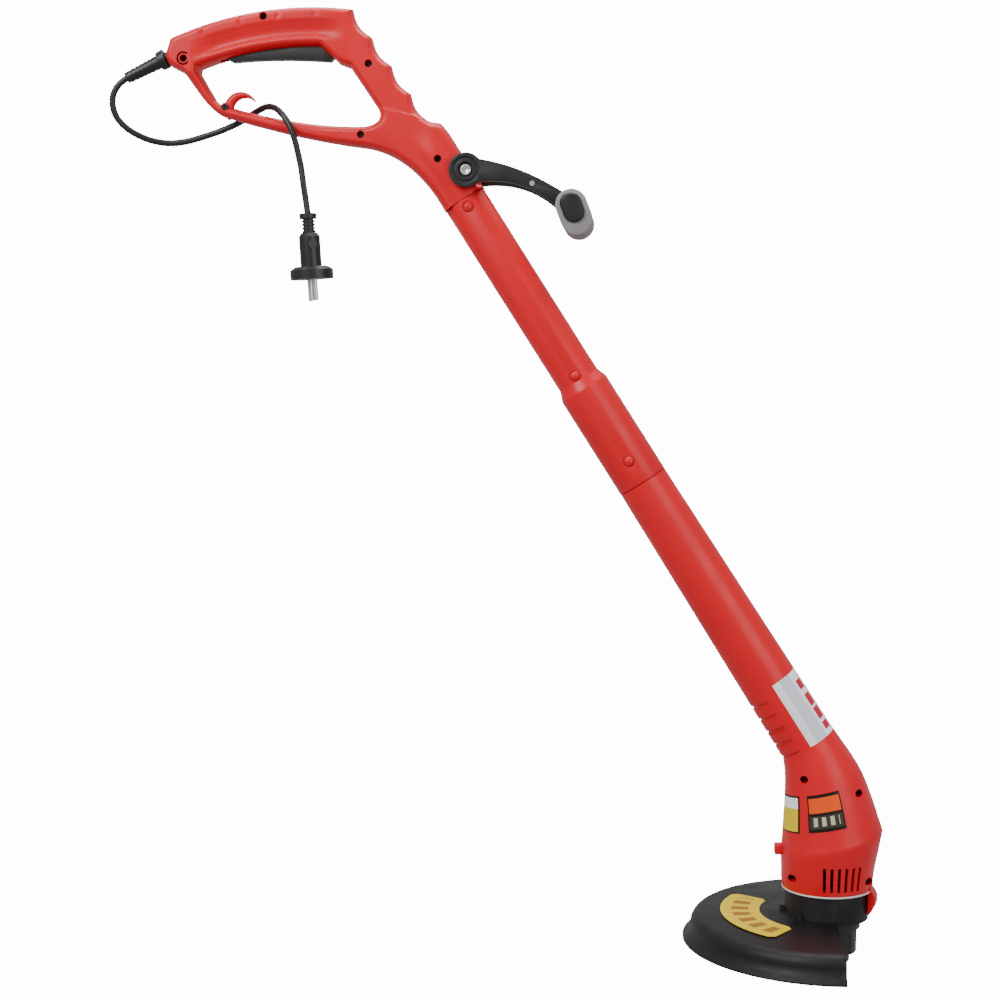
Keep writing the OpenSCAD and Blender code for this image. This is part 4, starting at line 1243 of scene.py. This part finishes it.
    def lug(self, side: Side) -> bmesh.types.BMesh:
        """Half of the rounded front lug that hangs over the guard's collar.

        Args:
            side: which half.

        Returns:
            The lug as a bmesh.
        """
        profile = [(38.2, 55), (40.6, 54), (41.0, 49.5), (43.2, 47.2), (44.8, 43.5), (44.8, 38.5), (43.2, 34.5),
                   (40.6, 29.5), (39.2, 27.6), (38.2, 27.4), (38.0, 30), (38.2, 55)]
        bm = turned(profile, Matrix.Identity(4), angle=25, steps=14, start=0.2 if side is Side.LEFT else -25.2)
        bmesh.ops.transform(bm, matrix=Matrix.Scale(MM, 4) @ head_frame() @ Matrix.Scale(1 / MM, 4), verts=bm.verts)
        return bm

    def patch(self, name: str, finish: Printed, heights: tuple[float, float], turns: tuple[float, float],
              lift: float = 0.25) -> bpy.types.Object:
        """Lays a thin label on the skin.

        Args:
            name: label's name.
            finish: its print.
            heights: where it starts and ends, counted in rings from the top one.
            turns: first and last angle round the skin in degrees.
            lift: how far its underside lies above the skin, in millimetres.

        Returns:
            The label.
        """
        around = np.linspace(turns[0], turns[1], 25)
        pts = self.skin_points(around, lift)
        run = np.arange(len(pts))
        rows = []
        for share in np.linspace(0, 1, 21):
            k = heights[1] + (heights[0] - heights[1]) * share
            rows.append([[np.interp(k, run, pts[:, j, c]) for c in range(3)] for j in range(len(around))])
        bm = laid_grid(np.array(rows))
        RearHandle.face_out(bm)
        label = thicken(make_object(bm, name), 0.3)
        return dress(label, finish, "root")

    def build_labels(self) -> None:
        """Lays the three labels of the housing and the neck."""
        t = self.skin_table()
        mid = (t[:, :2] + t[:, 2:4]) / 2 + np.array([SPINDLE_X, RIM_Z])
        down = -(mid - NECK) @ UP_SHAFT
        rows = np.arange(len(t))
        top, low = np.interp([506, 570], down, rows)
        self.patch("label_neck", NAME_LABEL, (top, low), (-10, -88))
        rear = (t[:, 1] + t[:, 3]) / 2
        for name, finish, heights, turns, lift in (
                ("label_rating_edge", LABEL_EDGE, (142.4, 110.2), (-75, -121), 0.2),
                ("label_rating", RATING_LABEL, (141, 111.6), (-77, -119), 0.55),
                ("label_care_edge", LABEL_EDGE, (142.4, 109.6), (-134, -174), 0.2),
                ("label_care", CARE_LABEL, (141, 111), (-136.5, -171.5), 0.55)):
            high, low = (float(np.interp(-z, -rear, rows)) for z in heights)
            self.patch(name, finish, (high, low), turns, lift=lift)

    def build_block(self) -> bpy.types.Object:
        """Builds the small rear block."""
        bm = block((8, 12, 9), head_frame(-43.4, 82.5), 1.4)
        return dress(make_object(bm, "rear_block"), RED_ABS, "root")

    def build(self) -> None:
        """Builds the housing and dresses the motor inside."""
        for side in Side:
            self.build_half(side)
        self.build_labels()
        self.build_block()
        rounded("base_ring", "seal_ring", 0.4, PALE_PP, "root")
        paint_nodes(LAMINATION, "field_stack")
        paint_nodes(COPPER_WIRE, "field_coils", "armature", "commutator")
        paint_nodes(ZINC_STEEL, "motor_shaft", "upper_bearing", "lower_bearing")
        # the casing screws are painted dark as painted shade down their wells
        paint_nodes(WELL_SHADE_STEEL, "head_screws")
        paint_nodes(BRASS, "brush_holders")
        paint_nodes(CARBON, "carbon_brushes")
        paint_nodes(BLACK_NYLON, "upper_bracket", "lower_bracket", "cooling_fan")


# ---- guard and spool ----


@dataclass
class Guard:
    """Half-round guard with its line cutter and yellow label."""

    top_z: float = 25.0
    label_in: float = 60.0
    label_out: float = 95.0
    label_from: float = 147.0
    label_to: float = 236.0
    label_corner: float = 5.0

    def build_label(self) -> bpy.types.Object:
        """Lays the curved label on the guard's top face, with rounded corners."""
        corner = self.label_corner
        rows = []
        for radius in np.linspace(self.label_out, self.label_in, 9):
            edge = min(self.label_out - radius, radius - self.label_in)
            pull = corner - math.sqrt(max(0, corner**2 - (corner - min(edge, corner)) ** 2))
            a = np.radians(np.linspace(self.label_from, self.label_to, 49))
            a = a[0] + pull / radius + (a - a[0]) * (1 - 2 * pull / radius / (a[-1] - a[0]))
            rows.append(np.stack([SPINDLE_X + radius * np.cos(a), radius * np.sin(a),
                                  np.full(49, RIM_Z + self.top_z + 0.35)], 1))
        bm = laid_grid(np.array(rows))
        bmesh.ops.recalc_face_normals(bm, faces=bm.faces)
        if sum(f.normal.z for f in bm.faces) < 0:
            bmesh.ops.reverse_faces(bm, faces=bm.faces)
        return dress(thicken(make_object(bm, "label_guard"), 0.35), GUARD_LABEL, "root")

    def build(self) -> None:
        """Builds the guard with rounded edges, the label and the cutter."""
        rounded("guard", "guard_cover", 0.5, GUARD_PP, "root")
        self.build_label()
        rounded("line_cutter", "cutter_blade", 0.2, ZINC_STEEL, "root")
        paint_nodes(ZINC_STEEL, "guard_screws", "cutter_rivets")


@dataclass
class Spool:
    """Spool housing, bump button and wound line."""

    def build(self) -> None:
        """Rounds the housing's edges and dresses the rest."""
        rounded("spool_housing", "spool_cup", 0.4, BLACK_NYLON, "rotor")
        rounded("bump_button", "bump_knob", 0.4, BLACK_NYLON, "bump")
        paint_nodes(ZINC_STEEL, "line_eyelets", "bump_spring")
        paint_nodes(GREY_ACETAL, "line_spool")
        paint_nodes(NYLON_LINE, "wound_line")


def main() -> None:
    logging.basicConfig(level=logging.INFO, format="%(message)s")
    Studio().build()
    MainsCord().build()
    for assembly in (RearHandle(), FrontHandle(), Shaft(), MotorHead(), Guard(), Spool()):
        LOG.info("building %s", type(assembly).__name__)
        assembly.build()


if __name__ == "__main__":
    main()
